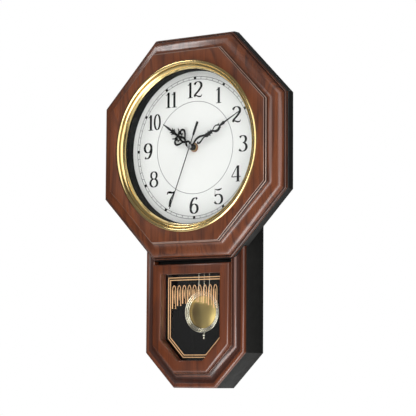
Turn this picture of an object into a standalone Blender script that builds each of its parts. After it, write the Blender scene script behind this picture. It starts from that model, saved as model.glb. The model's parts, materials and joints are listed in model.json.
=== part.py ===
"""Octagonal pendulum wall clock: moulded octagon head, drop case with window, quartz movement.

Metres, +Z up, the dial faces -Y and the back lies on the wall plane Y = 0.
The origin is the hanging point: the top of the keyhole in the hanger plate, on the wall plane.
Depths named *_OUT are distances from the wall plane towards the room, so y = -OUT.
"""
import math

import bmesh
import bpy
from mathutils import Vector

MM = 0.001
FIT = 0.3 * MM                      # gap between two pieces that touch
OVERRUN = 5.0 * MM                  # how far a cutter runs past the faces it goes through
ROUND = 64                          # facets of the large dial rings

# ---- overall sizes ------------------------------------------------------------------------
HEAD_HALF_WIDTH = 142.5 * MM        # octagon head, side to side / 2
HEAD_HALF_HEIGHT = 144.0 * MM
HEAD_TOP_EDGE = 60.8 * MM           # half length of the octagon's top and bottom edges
HEAD_SIDE_EDGE = 60.3 * MM          # half length of its upright edges
HANG_ABOVE_DIAL = 68.0 * MM         # hanging point above the hands' axis

CASE_HALF_WIDTH = 77.3 * MM         # drop case
CASE_BOTTOM = 307.7 * MM            # below the hands' axis
CASE_SHOULDER = 263.1 * MM          # where its bottom chamfers start, below the axis
CASE_FOOT_EDGE = 32.5 * MM          # half length of its bottom edge
CASE_TOP = 95.0 * MM                # top of the rear case, hidden behind the head
CASE_WALL = 4.0 * MM
CASE_FRONT_OUT = 38.5 * MM          # front edge of the rear case

# ---- hands, from the dial outwards -----------------------------------------------------------
HEAD_BACK_OUT = 45.3 * MM           # back of the head moulding, which the black board carries
DIAL_INSET = 1.6 * MM               # dial face behind the back of the head moulding
DIAL_OUT = HEAD_BACK_OUT - DIAL_INSET
DIAL_THICK = 1.0 * MM
SIGHT_RADIUS = 99.0 * MM            # inside of the black liner round the dial
DIAL_RADIUS = SIGHT_RADIUS + 7.0 * MM
DIAL_HOLE = 4.2 * MM
BUSH_PROUD = 3.2 * MM
BUSH_OUT = DIAL_OUT + BUSH_PROUD
HAND_THICK = 0.5 * MM
BOSS_BACK = 1.1 * MM                # a hand's boss behind its blade
BOSS_FRONT = 0.9 * MM               # and ahead of the blade's back face
HOUR_HAND_OUT = BUSH_OUT + BOSS_BACK + 0.4 * MM
MINUTE_HAND_OUT = HOUR_HAND_OUT + 3.0 * MM
SECOND_HAND_OUT = MINUTE_HAND_OUT + 3.4 * MM
SECOND_BOSS_FRONT = HAND_THICK + 0.1 * MM
CAP_RISE = 1.2 * MM
CAP_BACK_OUT = SECOND_HAND_OUT + SECOND_BOSS_FRONT + FIT
GLASS_CLEAR = 0.7 * MM              # hand cap to the dial glass

HOUR_LENGTH = 57.5 * MM
MINUTE_CLEAR = 11.8 * MM            # minute hand short of the liner
SECOND_CLEAR = 14.5 * MM
MINUTE_LENGTH = SIGHT_RADIUS - MINUTE_CLEAR
SECOND_LENGTH = SIGHT_RADIUS - SECOND_CLEAR
SECOND_TAIL = 33.8 * MM
HOUR_ANGLE = math.radians(305.1)    # clockwise from twelve, seen from the front
MINUTE_ANGLE = math.radians(61.5)
SECOND_ANGLE = math.radians(201.6)

# ---- head ---------------------------------------------------------------------------------
HEAD_RISE = 21.2 * MM               # thickness of the head moulding
FIELD_OUT = HEAD_BACK_OUT + HEAD_RISE
MOULDING_WIDTH = 22.1 * MM          # from the outer edge to the flat field round the dial
BOARD_THICK = 11.1 * MM             # black board behind the head
BOARD_FRONT_OUT = HEAD_BACK_OUT - FIT
BOARD_BACK_OUT = BOARD_FRONT_OUT - BOARD_THICK
BOARD_PROUD = 1.0 * MM              # how far the board stands out past the moulding
BOARD_ARRIS = 0.6 * MM
BOARD_HOLE_RADIUS = 58.0 * MM       # hole in the board that the movement passes through
# head moulding as drawn, in mm: (distance in from the outer edge, height above its back)
HEAD_SECTION = [(0.0, 0.0), (0.0, 1.5), (0.1, 2.3), (0.4, 3.1), (1.0, 3.6), (1.7, 3.5),
                (2.3, 2.9), (2.8, 2.7), (3.0, 3.7), (3.4, 5.5), (4.4, 7.2), (6.0, 8.6),
                (8.0, 9.5), (10.5, 10.0), (13.0, 10.3), (15.5, 10.8), (17.6, 11.7),
                (19.0, 13.0), (19.9, 14.9), (20.3, 17.2), (21.4, 17.5), (21.6, 20.8),
                (22.1, 21.2)]

LINER_WALL = 1.2 * MM
LINER_LIP = 1.0 * MM
GLASS_THICK = 2.2 * MM
BEZEL_RADIUS = SIGHT_RADIUS + 11.5 * MM
WASHER_RADIUS = 6.0 * MM
WASHER_THICK = 0.8 * MM
NUT_RADIUS = 5.4 * MM
NUT_THICK = 1.5 * MM
BEZEL_SEAT_RADIUS = SIGHT_RADIUS + 6.0 * MM      # counterbore that takes bezel, glass and liner
GLASS_BACK_OUT = CAP_BACK_OUT + CAP_RISE + GLASS_CLEAR
BEZEL_SEAT_OUT = GLASS_BACK_OUT - LINER_LIP - 2 * FIT

# ---- window of the drop case --------------------------------------------------------------
WINDOW_HALF_WIDTH = 46.4 * MM
WINDOW_TOP = 162.5 * MM             # below the axis
WINDOW_SHOULDER = 246.1 * MM
WINDOW_BOTTOM = 273.0 * MM
WINDOW_FOOT_EDGE = 20.2 * MM
WINDOW_GLASS_THICK = 2.2 * MM
SASH_TOP = WINDOW_TOP - 12.7 * MM
SASH_RAIL = 13.6 * MM               # width of the raised sash, measured on the side rail
SASH_RISE = 14.5 * MM
FRAME_BACK_OUT = CASE_FRONT_OUT + FIT
SASH_OUT = FRAME_BACK_OUT + SASH_RISE
REBATE_WIDTH = 4.0 * MM
REBATE_OUT = FRAME_BACK_OUT + WINDOW_GLASS_THICK + FIT
RAIL_WIDTH = CASE_HALF_WIDTH - WINDOW_HALF_WIDTH
COVE_RISE = 9.6 * MM
NECK_INSET = 1.0 * MM               # rail at the neck: inside the sash's outer edges
NECK_ABOVE_WINDOW = 2.0 * MM
NECK_THICK = 8.0 * MM
SASH_ARRIS = 0.5 * MM
# rounded outer edge of the sash, in mm: (distance in from that edge, depth below the face)
SASH_ROUND = [(2.8, 0.0), (1.4, 0.5), (0.5, 1.7), (0.1, 3.1), (0.0, 4.7)]
# cove as drawn, in mm: (distance across from the sash, height above its back)
COVE_SECTION = [(0.0, 9.2), (0.3, 9.6), (1.2, 9.6), (1.6, 7.7), (2.6, 5.9), (4.4, 4.3),
                (6.8, 3.4), (9.4, 3.5), (11.5, 4.2), (13.2, 5.0), (14.6, 5.1), (15.8, 4.4),
                (16.6, 3.1), (16.9, 1.6)]

# ---- window clips and screws ----------------------------------------------------------------
CLIP_THICK = 1.0 * MM
CLIP_HALF_HEIGHT = 4.0 * MM
CLIP_GRIP = 3.2 * MM                # how far a clip reaches in from the rebate's edge
CLIP_FOOT = 6.6 * MM                # and out over the sash
CLIP_BELOW_TOP = 23.5 * MM
CLIP_ABOVE_SHOULDER = 12.1 * MM
SCREW_SHANK = 1.2 * MM
SCREW_HEAD = 2.4 * MM
SCREW_HEAD_THICK = 1.4 * MM
CLIP_SCREW_LENGTH = 7.0 * MM

# ---- movement -----------------------------------------------------------------------------
MOVEMENT_HALF = 28.0 * MM
MOVEMENT_WALL = 1.6 * MM
MOVEMENT_FLOOR = 1.4 * MM
BATTERY_RADIUS = 7.1 * MM
BATTERY_CLEAR = 0.8 * MM
MOVEMENT_DEPTH = MOVEMENT_FLOOR + 2 * BATTERY_RADIUS + BATTERY_CLEAR + MOVEMENT_WALL
MOVEMENT_FRONT_OUT = DIAL_OUT - DIAL_THICK - FIT
MOVEMENT_BACK_OUT = MOVEMENT_FRONT_OUT - MOVEMENT_DEPTH
MOVEMENT_SPLIT_OUT = MOVEMENT_BACK_OUT + MOVEMENT_DEPTH / 2
BUSH_RADIUS = 3.9 * MM
BUSH_BORE = 2.85 * MM
RUN = 0.25 * MM                     # radial running clearance of the hand arbors
PIPE_WALL = 0.65 * MM
MINUTE_WALL = 0.75 * MM
MOTION_DISTANCE = 14.5 * MM         # hands' axis to the motion wheel
HOUR_TEETH = 24
MOTION_PINION_TEETH = 6
MOTION_TEETH = 24
MINUTE_PINION_TEETH = 8
MINUTE_TEETH = 20
SECOND_TEETH = 20
SETTING_TEETH = 8
MINUTE_TIP = 9.0 * MM
SECOND_TIP = 8.0 * MM
SETTING_RADIUS = 6.0 * MM
SETTING_TIP = MINUTE_TIP * SETTING_TEETH / MINUTE_TEETH
SETTING_DISTANCE = MINUTE_TIP + SETTING_TIP + FIT    # hands' axis to the setting knob
BATTERY_LENGTH = 50.5 * MM
CONTACT_THICK = 0.5 * MM
CONTACT_HALF = 5.0 * MM
SETTING_SHAFT = 1.4 * MM
BOARD_SHEET = 1.0 * MM              # circuit board
BOARD_HALF_LENGTH = 22.0 * MM
BOARD_LOW = 12.5 * MM
COIL_RADIUS = 3.2 * MM
COIL_HALF_LENGTH = 11.0 * MM
TOOTH = 0.6 * MM
WHEEL_THICK = 1.0 * MM
HOUR_WHEEL_BELOW = 2.2 * MM         # front of the hour wheel behind the movement's front wall
KNOB_LENGTH = 4.6 * MM

# ---- pendulum -----------------------------------------------------------------------------
PIVOT_BELOW = 34.0 * MM             # swing axis below the hands' axis
PIN_RADIUS = 0.9 * MM
LEVER_OUT = MOVEMENT_BACK_OUT - 1.0 * MM         # back face of the lever
LEVER_THICK = 3.0 * MM
LEVER_END = 70.0 * MM
ROD_RADIUS = 0.9 * MM
ROD_OUT = LEVER_OUT - 3.2 * MM
ROD_SPACING = 8.3 * MM
BOB_BELOW = 210.5 * MM
BOB_RADIUS = 27.0 * MM
DOME_RADIUS = BOB_RADIUS - 6.4 * MM
DOME_RISE = 5.0 * MM
BOB_BACK_OUT = ROD_OUT + ROD_RADIUS + FIT
DRIVE_HALF_WIDTH = 22.0 * MM
DRIVE_HEIGHT = 22.0 * MM
DRIVE_DEPTH = 11.0 * MM

# ---- back -----------------------------------------------------------------------------------
PANEL_THICK = 3.0 * MM
ACCESS_HALF_WIDTH = 36.0 * MM
ACCESS_TOP = 40.0 * MM
ACCESS_BOTTOM = 56.0 * MM
HANGER_HOLE = 11.0 * MM
HANGER_PLATE = 1.5 * MM
KEYHOLE_RADIUS = 5.0 * MM
KEYHOLE_SLOT = 2.5 * MM
PANEL_SCREW_HEAD = 3.0 * MM
BLOCK_WIDTH = 14.0 * MM
BLOCK_HEIGHT = 16.0 * MM
PANEL_SCREW_GRIP = 10.7 * MM        # panel screw inside its block
HANGER_HALF = 15.0 * MM
HANGER_EAR = 5.0 * MM               # ears of the plate that take its screws


# ---- small tools --------------------------------------------------------------------------
def clear_scene():
    for old in list(bpy.data.objects):
        bpy.data.objects.remove(old, do_unlink=True)


def finish(name, colour, roughness, metallic=0.0):
    material = bpy.data.materials.new(name)
    material.use_nodes = True
    shader = material.node_tree.nodes["Principled BSDF"]
    shader.inputs["Base Color"].default_value = (*colour, 1.0)
    shader.inputs["Roughness"].default_value = roughness
    shader.inputs["Metallic"].default_value = metallic
    return material


def empty(name, location, parent=None):
    marker = bpy.data.objects.new(name, None)
    marker.location = location
    marker.parent = parent
    bpy.context.collection.objects.link(marker)
    return marker


def piece(name, bm, material, parent, smooth=False):
    """Turn a bmesh into a named object with outward faces."""
    bmesh.ops.remove_doubles(bm, verts=bm.verts, dist=1e-7)
    bmesh.ops.recalc_face_normals(bm, faces=bm.faces)
    mesh = bpy.data.meshes.new(name)
    bm.to_mesh(mesh)
    bm.free()
    mesh.materials.append(material)
    thing = bpy.data.objects.new(name, mesh)
    thing.parent = parent
    bpy.context.collection.objects.link(thing)
    if smooth:
        mesh.shade_smooth()
        mesh.set_sharp_from_angle(angle=math.radians(35))
    return thing


def combine(body, tool, operation="DIFFERENCE"):
    """Cut one solid with another, or join it on, and drop the tool."""
    modifier = body.modifiers.new("combine", "BOOLEAN")
    modifier.operation = operation
    modifier.solver = "EXACT"
    modifier.object = tool
    bpy.context.view_layer.update()
    result = bpy.data.meshes.new_from_object(body.evaluated_get(bpy.context.evaluated_depsgraph_get()))
    body.modifiers.remove(modifier)
    body.data = result
    bpy.data.objects.remove(tool, do_unlink=True)
    return body


def rings_to_solid(rings, closed=False):
    """Skin a list of equal loops: end caps when open, a tube back to the first loop when closed."""
    bm = bmesh.new()
    loops = [[bm.verts.new(point) for point in ring] for ring in rings]
    count = len(loops[0])
    pairs = list(zip(loops, loops[1:]))
    if closed:
        pairs.append((loops[-1], loops[0]))
    for lower, upper in pairs:
        for i in range(count):
            j = (i + 1) % count
            bm.faces.new((lower[i], lower[j], upper[j], upper[i]))
    if not closed:
        bm.faces.new(loops[0])
        bm.faces.new(list(reversed(loops[-1])))
    return bm


def level(outline, out):
    """Place an outline of (x, z) points at a distance out from the wall."""
    return [Vector((x, -out, z)) for x, z in outline]


def prism(outline, out_low, out_high):
    return rings_to_solid([level(outline, out_low), level(outline, out_high)])


def box(x, z, out):
    """Box from three (low, high) ranges."""
    outline = [(x[0], z[0]), (x[1], z[0]), (x[1], z[1]), (x[0], z[1])]
    return prism(outline, out[0], out[1])


def circle(radius, steps, centre=(0.0, 0.0)):
    return [(centre[0] + radius * math.cos(2 * math.pi * i / steps),
             centre[1] + radius * math.sin(2 * math.pi * i / steps)) for i in range(steps)]


def rod(radius, out_low, out_high, steps=24, centre=(0.0, 0.0)):
    return prism(circle(radius, steps, centre), out_low, out_high)


def washer(outer, inner, out_low, out_high, steps=24, centre=(0.0, 0.0)):
    """Ring with a square section round the Y direction."""
    return turned([(outer, out_low), (outer, out_high), (inner, out_high), (inner, out_low)],
                  steps, centre)


def turned(section, steps, centre=(0.0, 0.0)):
    """Closed section of (radius, out) points turned round the Y direction."""
    bm = bmesh.new()
    loop = [bm.verts.new((centre[0] + r, -out, centre[1])) for r, out in section]
    edges = [bm.edges.new((a, b)) for a, b in zip(loop, loop[1:] + loop[:1])]
    bmesh.ops.spin(bm, geom=loop + edges, cent=(centre[0], 0.0, centre[1]), axis=(0.0, 1.0, 0.0),
                   angle=2 * math.pi, steps=steps, use_merge=True)
    return bm


def turned_solid(section, steps, centre=(0.0, 0.0)):
    """Section that starts and ends on the axis, turned round the Y direction."""
    rings = [level(circle(r, steps, centre), out) for r, out in section if r > 0]
    return rings_to_solid(rings)


def inset(outline, distance):
    """Move every side of a convex anticlockwise outline inwards; corners stay mitred."""
    result = []
    count = len(outline)
    for i in range(count):
        before, here, after = (Vector(outline[k % count]) for k in (i - 1, i, i + 1))
        one = (here - before).normalized()
        two = (after - here).normalized()
        normal_one = Vector((-one.y, one.x))
        normal_two = Vector((-two.y, two.x))
        shift = (normal_one + normal_two) / (1 + normal_one.dot(normal_two))
        result.append(tuple(here + shift * distance))
    return result


def blend_outline(first, second, share):
    return [(a[0] + (b[0] - a[0]) * share, a[1] + (b[1] - a[1]) * share)
            for a, b in zip(first, second)]


def fitted(section, wide, rise, low_out):
    """Scale a section drawn in mm, whose last point is its full width, to a width and a rise."""
    drawn_wide = section[-1][0]
    drawn_rise = max(height for across, height in section)
    return [(wide * across / drawn_wide, low_out + rise * height / drawn_rise)
            for across, height in section]


def toothed(teeth, tip, depth):
    """Outline of a wheel with square-topped teeth."""
    points = []
    for i in range(teeth):
        for share, radius in ((0.0, tip - depth), (0.2, tip), (0.5, tip), (0.7, tip - depth)):
            angle = 2 * math.pi * (i + share) / teeth
            points.append((radius * math.cos(angle), radius * math.sin(angle)))
    return points


# ---- outlines ------------------------------------------------------------------------------
def head_outline():
    w, h = HEAD_HALF_WIDTH, HEAD_HALF_HEIGHT
    t, s = HEAD_TOP_EDGE, HEAD_SIDE_EDGE
    return [(w, -s), (w, s), (t, h), (-t, h), (-w, s), (-w, -s), (-t, -h), (t, -h)]


def case_outline(top):
    w, f = CASE_HALF_WIDTH, CASE_FOOT_EDGE
    return [(w, top), (-w, top), (-w, -CASE_SHOULDER), (-f, -CASE_BOTTOM),
            (f, -CASE_BOTTOM), (w, -CASE_SHOULDER)]


def window_outline():
    w, f = WINDOW_HALF_WIDTH, WINDOW_FOOT_EDGE
    return [(w, -WINDOW_TOP), (-w, -WINDOW_TOP), (-w, -WINDOW_SHOULDER), (-f, -WINDOW_BOTTOM),
            (f, -WINDOW_BOTTOM), (w, -WINDOW_SHOULDER)]


def rail_outline(across):
    """Outline at a distance across the rail from the window edge; the top edge follows the sash."""
    share = across / RAIL_WIDTH
    outline = blend_outline(window_outline(), case_outline(-WINDOW_TOP), share)
    top = -WINDOW_TOP + (WINDOW_TOP - SASH_TOP) * min(across / SASH_RAIL, 1.0)
    return [(outline[0][0], top), (outline[1][0], top)] + outline[2:]


def board_outline(extra=0.0):
    return inset(head_outline(), -(BOARD_PROUD + extra))


# ---- head ----------------------------------------------------------------------------------
def make_head(home, looks):
    outline = head_outline()
    section = fitted(HEAD_SECTION, MOULDING_WIDTH, HEAD_RISE, HEAD_BACK_OUT)
    rings = [level(inset(outline, across), out) for across, out in section]
    frame = piece("octagon_frame", rings_to_solid(rings), looks["walnut"], home)
    liner_bore = SIGHT_RADIUS + LINER_WALL + FIT
    bore = turned_solid([(liner_bore, HEAD_BACK_OUT - OVERRUN), (liner_bore, BEZEL_SEAT_OUT),
                         (BEZEL_SEAT_RADIUS, BEZEL_SEAT_OUT),
                         (BEZEL_SEAT_RADIUS, FIELD_OUT + OVERRUN)], ROUND)
    combine(frame, piece("tool", bore, looks["walnut"], home))

    edge = board_outline()
    rings = [level(edge, BOARD_BACK_OUT), level(edge, BOARD_FRONT_OUT - BOARD_ARRIS),
             level(inset(edge, BOARD_ARRIS), BOARD_FRONT_OUT)]
    board = piece("octagon_board", rings_to_solid(rings), looks["black_paint"], home)
    dial_seat = DIAL_OUT - DIAL_THICK - FIT
    seat = turned_solid([(BOARD_HOLE_RADIUS, BOARD_BACK_OUT - OVERRUN), (BOARD_HOLE_RADIUS, dial_seat),
                         (DIAL_RADIUS + FIT, dial_seat),
                         (DIAL_RADIUS + FIT, BOARD_FRONT_OUT + OVERRUN)], ROUND)
    combine(board, piece("tool", seat, looks["black_paint"], home))


def make_bezel_and_dial(home, looks):
    seat = BEZEL_SEAT_RADIUS - FIT
    lip_top = GLASS_BACK_OUT - FIT
    glass_front = GLASS_BACK_OUT + GLASS_THICK
    spigot = glass_front + FIT
    flange = FIELD_OUT + FIT
    # double bead: a tall outer bead on the field, then a lower one that steps down to the glass
    outer_bead = [(0.0, 0.0), (0.3, 1.0), (1.2, 1.8), (2.6, 2.1), (4.1, 1.6), (5.2, 0.3)]
    inner_bead = [(6.2, 0.76), (7.2, 0.7), (8.4, 0.61), (9.6, 0.4), (10.5, 0.12), (10.7, 0.0)]
    section = [(BEZEL_RADIUS - across * MM, flange + rise * MM) for across, rise in outer_bead]
    section += [(BEZEL_RADIUS - across * MM, spigot + share * (flange - spigot))
                for across, share in inner_bead]
    section += [(seat, spigot), (seat, flange)]
    piece("bezel_ring", turned(section, ROUND), looks["gold"], home, smooth=True)
    piece("dial_glass", rod(seat, GLASS_BACK_OUT, glass_front, ROUND), looks["glass"], home, smooth=True)
    liner = [(SIGHT_RADIUS, DIAL_OUT + FIT), (SIGHT_RADIUS, lip_top), (seat, lip_top),
             (seat, BEZEL_SEAT_OUT + FIT), (SIGHT_RADIUS + LINER_WALL, BEZEL_SEAT_OUT + FIT),
             (SIGHT_RADIUS + LINER_WALL, DIAL_OUT + FIT)]
    piece("recess_liner", turned(liner, ROUND), looks["black_liner"], home, smooth=True)
    piece("dial_plate", washer(DIAL_RADIUS, DIAL_HOLE, DIAL_OUT - DIAL_THICK, DIAL_OUT, ROUND),
          looks["dial_white"], home, smooth=True)

    bore = BUSH_RADIUS + FIT
    washer_out = DIAL_OUT + FIT
    piece("dial_washer", washer(WASHER_RADIUS, bore, washer_out, washer_out + WASHER_THICK),
          looks["fibre_brown"], home, smooth=True)
    nut_out = washer_out + WASHER_THICK + FIT
    nut = piece("centre_nut", rod(NUT_RADIUS, nut_out, nut_out + NUT_THICK, 6), looks["brass"], home)
    hole = rod(bore, nut_out - OVERRUN, nut_out + OVERRUN, 24)
    combine(nut, piece("tool", hole, looks["brass"], home))


# ---- drop case -----------------------------------------------------------------------------
def make_drop_case(home, looks):
    def trim_under_head(body):
        tool = prism(board_outline(FIT), BOARD_BACK_OUT - FIT, FIELD_OUT + OVERRUN)
        combine(body, piece("tool", tool, looks["black_paint"], home))

    outer = case_outline(CASE_TOP)
    inner = inset(outer, CASE_WALL)
    rings = [level(outer, 0.0), level(outer, CASE_FRONT_OUT),
             level(inner, CASE_FRONT_OUT), level(inner, 0.0)]
    case = piece("rear_case", rings_to_solid(rings, closed=True), looks["black_paint"], home)
    trim_under_head(case)

    # cove moulding: a U whose legs run up until the head stops them
    leg_top = -HEAD_SIDE_EDGE
    inner_edge = SASH_RAIL + FIT
    section = fitted(COVE_SECTION, RAIL_WIDTH - inner_edge, COVE_RISE, FRAME_BACK_OUT)
    section += [(RAIL_WIDTH - inner_edge, FRAME_BACK_OUT), (0.0, FRAME_BACK_OUT)]
    bm = bmesh.new()
    loops = []
    for across, out in section:
        outline = rail_outline(inner_edge + across)
        path = [(outline[0][0], leg_top)] + outline[:1:-1] + [(outline[1][0], leg_top)]
        loops.append([bm.verts.new(point) for point in level(path, out)])
    for near, far in zip(loops, loops[1:] + loops[:1]):
        for i in range(len(near) - 1):
            bm.faces.new((near[i], near[i + 1], far[i + 1], far[i]))
    bm.faces.new([loop[0] for loop in loops])
    bm.faces.new([loop[-1] for loop in reversed(loops)])
    cove = piece("cove_moulding", bm, looks["walnut"], home)
    trim_under_head(cove)

    # raised sash with a rebate for the glass at the back of its window edge
    section = [(0.0, SASH_OUT - SASH_ARRIS), (SASH_ARRIS, SASH_OUT)]
    section += [(SASH_RAIL - across * MM, SASH_OUT - depth * MM) for across, depth in SASH_ROUND]
    section += [(SASH_RAIL, FRAME_BACK_OUT), (REBATE_WIDTH, FRAME_BACK_OUT),
                (REBATE_WIDTH, REBATE_OUT), (0.0, REBATE_OUT)]
    rings = [level(rail_outline(across), out) for across, out in section]
    sash = piece("sash_frame", rings_to_solid(rings, closed=True), looks["walnut"], home)

    glass_front = REBATE_OUT - FIT
    glass = prism(rail_outline(REBATE_WIDTH - FIT), glass_front - WINDOW_GLASS_THICK, glass_front)
    piece("window_glass", glass, looks["glass"], home)

    # rail behind the joint of the head and the sash
    rail_x = WINDOW_HALF_WIDTH + SASH_RAIL - NECK_INSET
    rail_top = -(HEAD_HALF_HEIGHT + BOARD_PROUD + FIT)
    rail_low = -(WINDOW_TOP - NECK_ABOVE_WINDOW)
    piece("neck_rail", box((-rail_x, rail_x), (rail_low, rail_top),
                           (CASE_FRONT_OUT - NECK_THICK, CASE_FRONT_OUT)), looks["black_paint"], home)
    make_glass_clips(home, looks, sash)


def make_glass_clips(home, looks, sash):
    """Flat clips screwed to the back of the sash, each gripping an edge of the window glass."""
    clip_front = FRAME_BACK_OUT - FIT
    clip_back = clip_front - CLIP_THICK
    edge = WINDOW_HALF_WIDTH + REBATE_WIDTH
    screw_x = edge + CLIP_FOOT / 2
    upper = -(WINDOW_TOP + CLIP_BELOW_TOP)
    lower = -(WINDOW_SHOULDER - CLIP_ABOVE_SHOULDER)
    places = [("upper_left", -1, upper), ("upper_right", 1, upper),
              ("lower_left", -1, lower), ("lower_right", 1, lower)]
    for label, side, z in places:
        xs = sorted((side * (edge - CLIP_GRIP), side * (edge + CLIP_FOOT)))
        clip = piece("glass_clip_" + label,
                     box(xs, (z - CLIP_HALF_HEIGHT, z + CLIP_HALF_HEIGHT), (clip_back, clip_front)),
                     looks["steel"], home)
        centre = (side * screw_x, z)
        head_front = clip_back - FIT
        tip = head_front + CLIP_SCREW_LENGTH
        for body, hole_front in ((clip, clip_front + OVERRUN), (sash, tip + 1 * MM)):
            hole = rod(SCREW_SHANK + FIT, clip_back - OVERRUN, hole_front, 12, centre)
            combine(body, piece("tool", hole, looks["steel"], home))
        make_screw("clip_screw_" + label, home, looks, centre,
                   head_front, head_front - SCREW_HEAD_THICK, tip)


def make_screw(name, home, looks, centre, seat_out, head_out, tip_out, head=SCREW_HEAD):
    """Round-headed screw along Y: head from seat_out to head_out, shank on to tip_out."""
    section = [(SCREW_SHANK, tip_out), (SCREW_SHANK, seat_out), (head, seat_out), (head, head_out)]
    piece(name, turned_solid(section, 12, centre), looks["steel"], home, smooth=True)


def make_back(home, looks):
    inner = inset(case_outline(CASE_TOP), CASE_WALL + FIT)
    panel = piece("back_panel", prism(inner, 0.0, PANEL_THICK), looks["panel_black"], home)
    behind = -OVERRUN
    screw_hole = SCREW_SHANK + FIT

    def cut(body, bm):
        combine(body, piece("tool", bm, looks["panel_black"], home))

    ahead = PANEL_THICK + OVERRUN
    cut(panel, box((-ACCESS_HALF_WIDTH, ACCESS_HALF_WIDTH), (-ACCESS_BOTTOM, ACCESS_TOP), (behind, ahead)))
    hang = HANG_ABOVE_DIAL
    cut(panel, rod(HANGER_HOLE, behind, ahead, 32, (0.0, hang)))

    plate_back = PANEL_THICK + FIT
    plate_front = plate_back + HANGER_PLATE
    half = HANGER_HALF
    plate = piece("hanger_plate", box((-half - HANGER_EAR, half + HANGER_EAR), (hang - half, hang + half),
                                      (plate_back, plate_front)), looks["steel"], home)
    ahead = plate_front + OVERRUN
    drop = KEYHOLE_RADIUS + 2 * MM
    cut(plate, rod(KEYHOLE_RADIUS, behind, ahead, 24, (0.0, hang - drop)))
    cut(plate, box((-KEYHOLE_SLOT, KEYHOLE_SLOT), (hang - drop, hang), (behind, ahead)))
    for label, side in (("left", -1), ("right", 1)):
        centre = (side * (HANGER_HOLE + HANGER_EAR - 0.5 * MM), hang)
        for body in (plate, panel):
            cut(body, rod(screw_hole, behind, ahead, 12, centre))
        seat = plate_front + FIT
        make_screw("hanger_screw_" + label, home, looks, centre, seat, seat + SCREW_HEAD_THICK, 0.6 * MM)

    # four wooden blocks inside the case that take the panel screws
    side_x = CASE_HALF_WIDTH - CASE_WALL - FIT
    top_z = CASE_TOP - CASE_WALL - FIT
    foot_z = -(CASE_BOTTOM - CASE_WALL - FIT)
    foot_x = CASE_FOOT_EDGE - CASE_WALL
    block_back = PANEL_THICK + FIT
    block_front = BOARD_BACK_OUT - 2 * FIT
    spots = [("upper_left", -side_x, -side_x + BLOCK_WIDTH, top_z - BLOCK_HEIGHT),
             ("upper_right", side_x - BLOCK_WIDTH, side_x, top_z - BLOCK_HEIGHT),
             ("lower_left", -foot_x, -foot_x + BLOCK_WIDTH, foot_z),
             ("lower_right", foot_x - BLOCK_WIDTH, foot_x, foot_z)]
    screw_tip = block_back + PANEL_SCREW_GRIP
    seat = PANEL_THICK - 1.4 * MM
    for label, low_x, high_x, low_z in spots:
        block = piece("corner_block_" + label,
                      box((low_x, high_x), (low_z, low_z + BLOCK_HEIGHT), (block_back, block_front)),
                      looks["plain_wood"], home)
        centre = ((low_x + high_x) / 2, low_z + BLOCK_HEIGHT / 2)
        cut(block, rod(screw_hole, behind, screw_tip + 1 * MM, 12, centre))
        cut(panel, rod(screw_hole, behind, PANEL_THICK + OVERRUN, 12, centre))
        cut(panel, rod(PANEL_SCREW_HEAD + FIT, behind, seat + FIT, 16, centre))
        make_screw("panel_screw_" + label, home, looks, centre, seat, seat - SCREW_HEAD_THICK,
                   screw_tip, PANEL_SCREW_HEAD)


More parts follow.
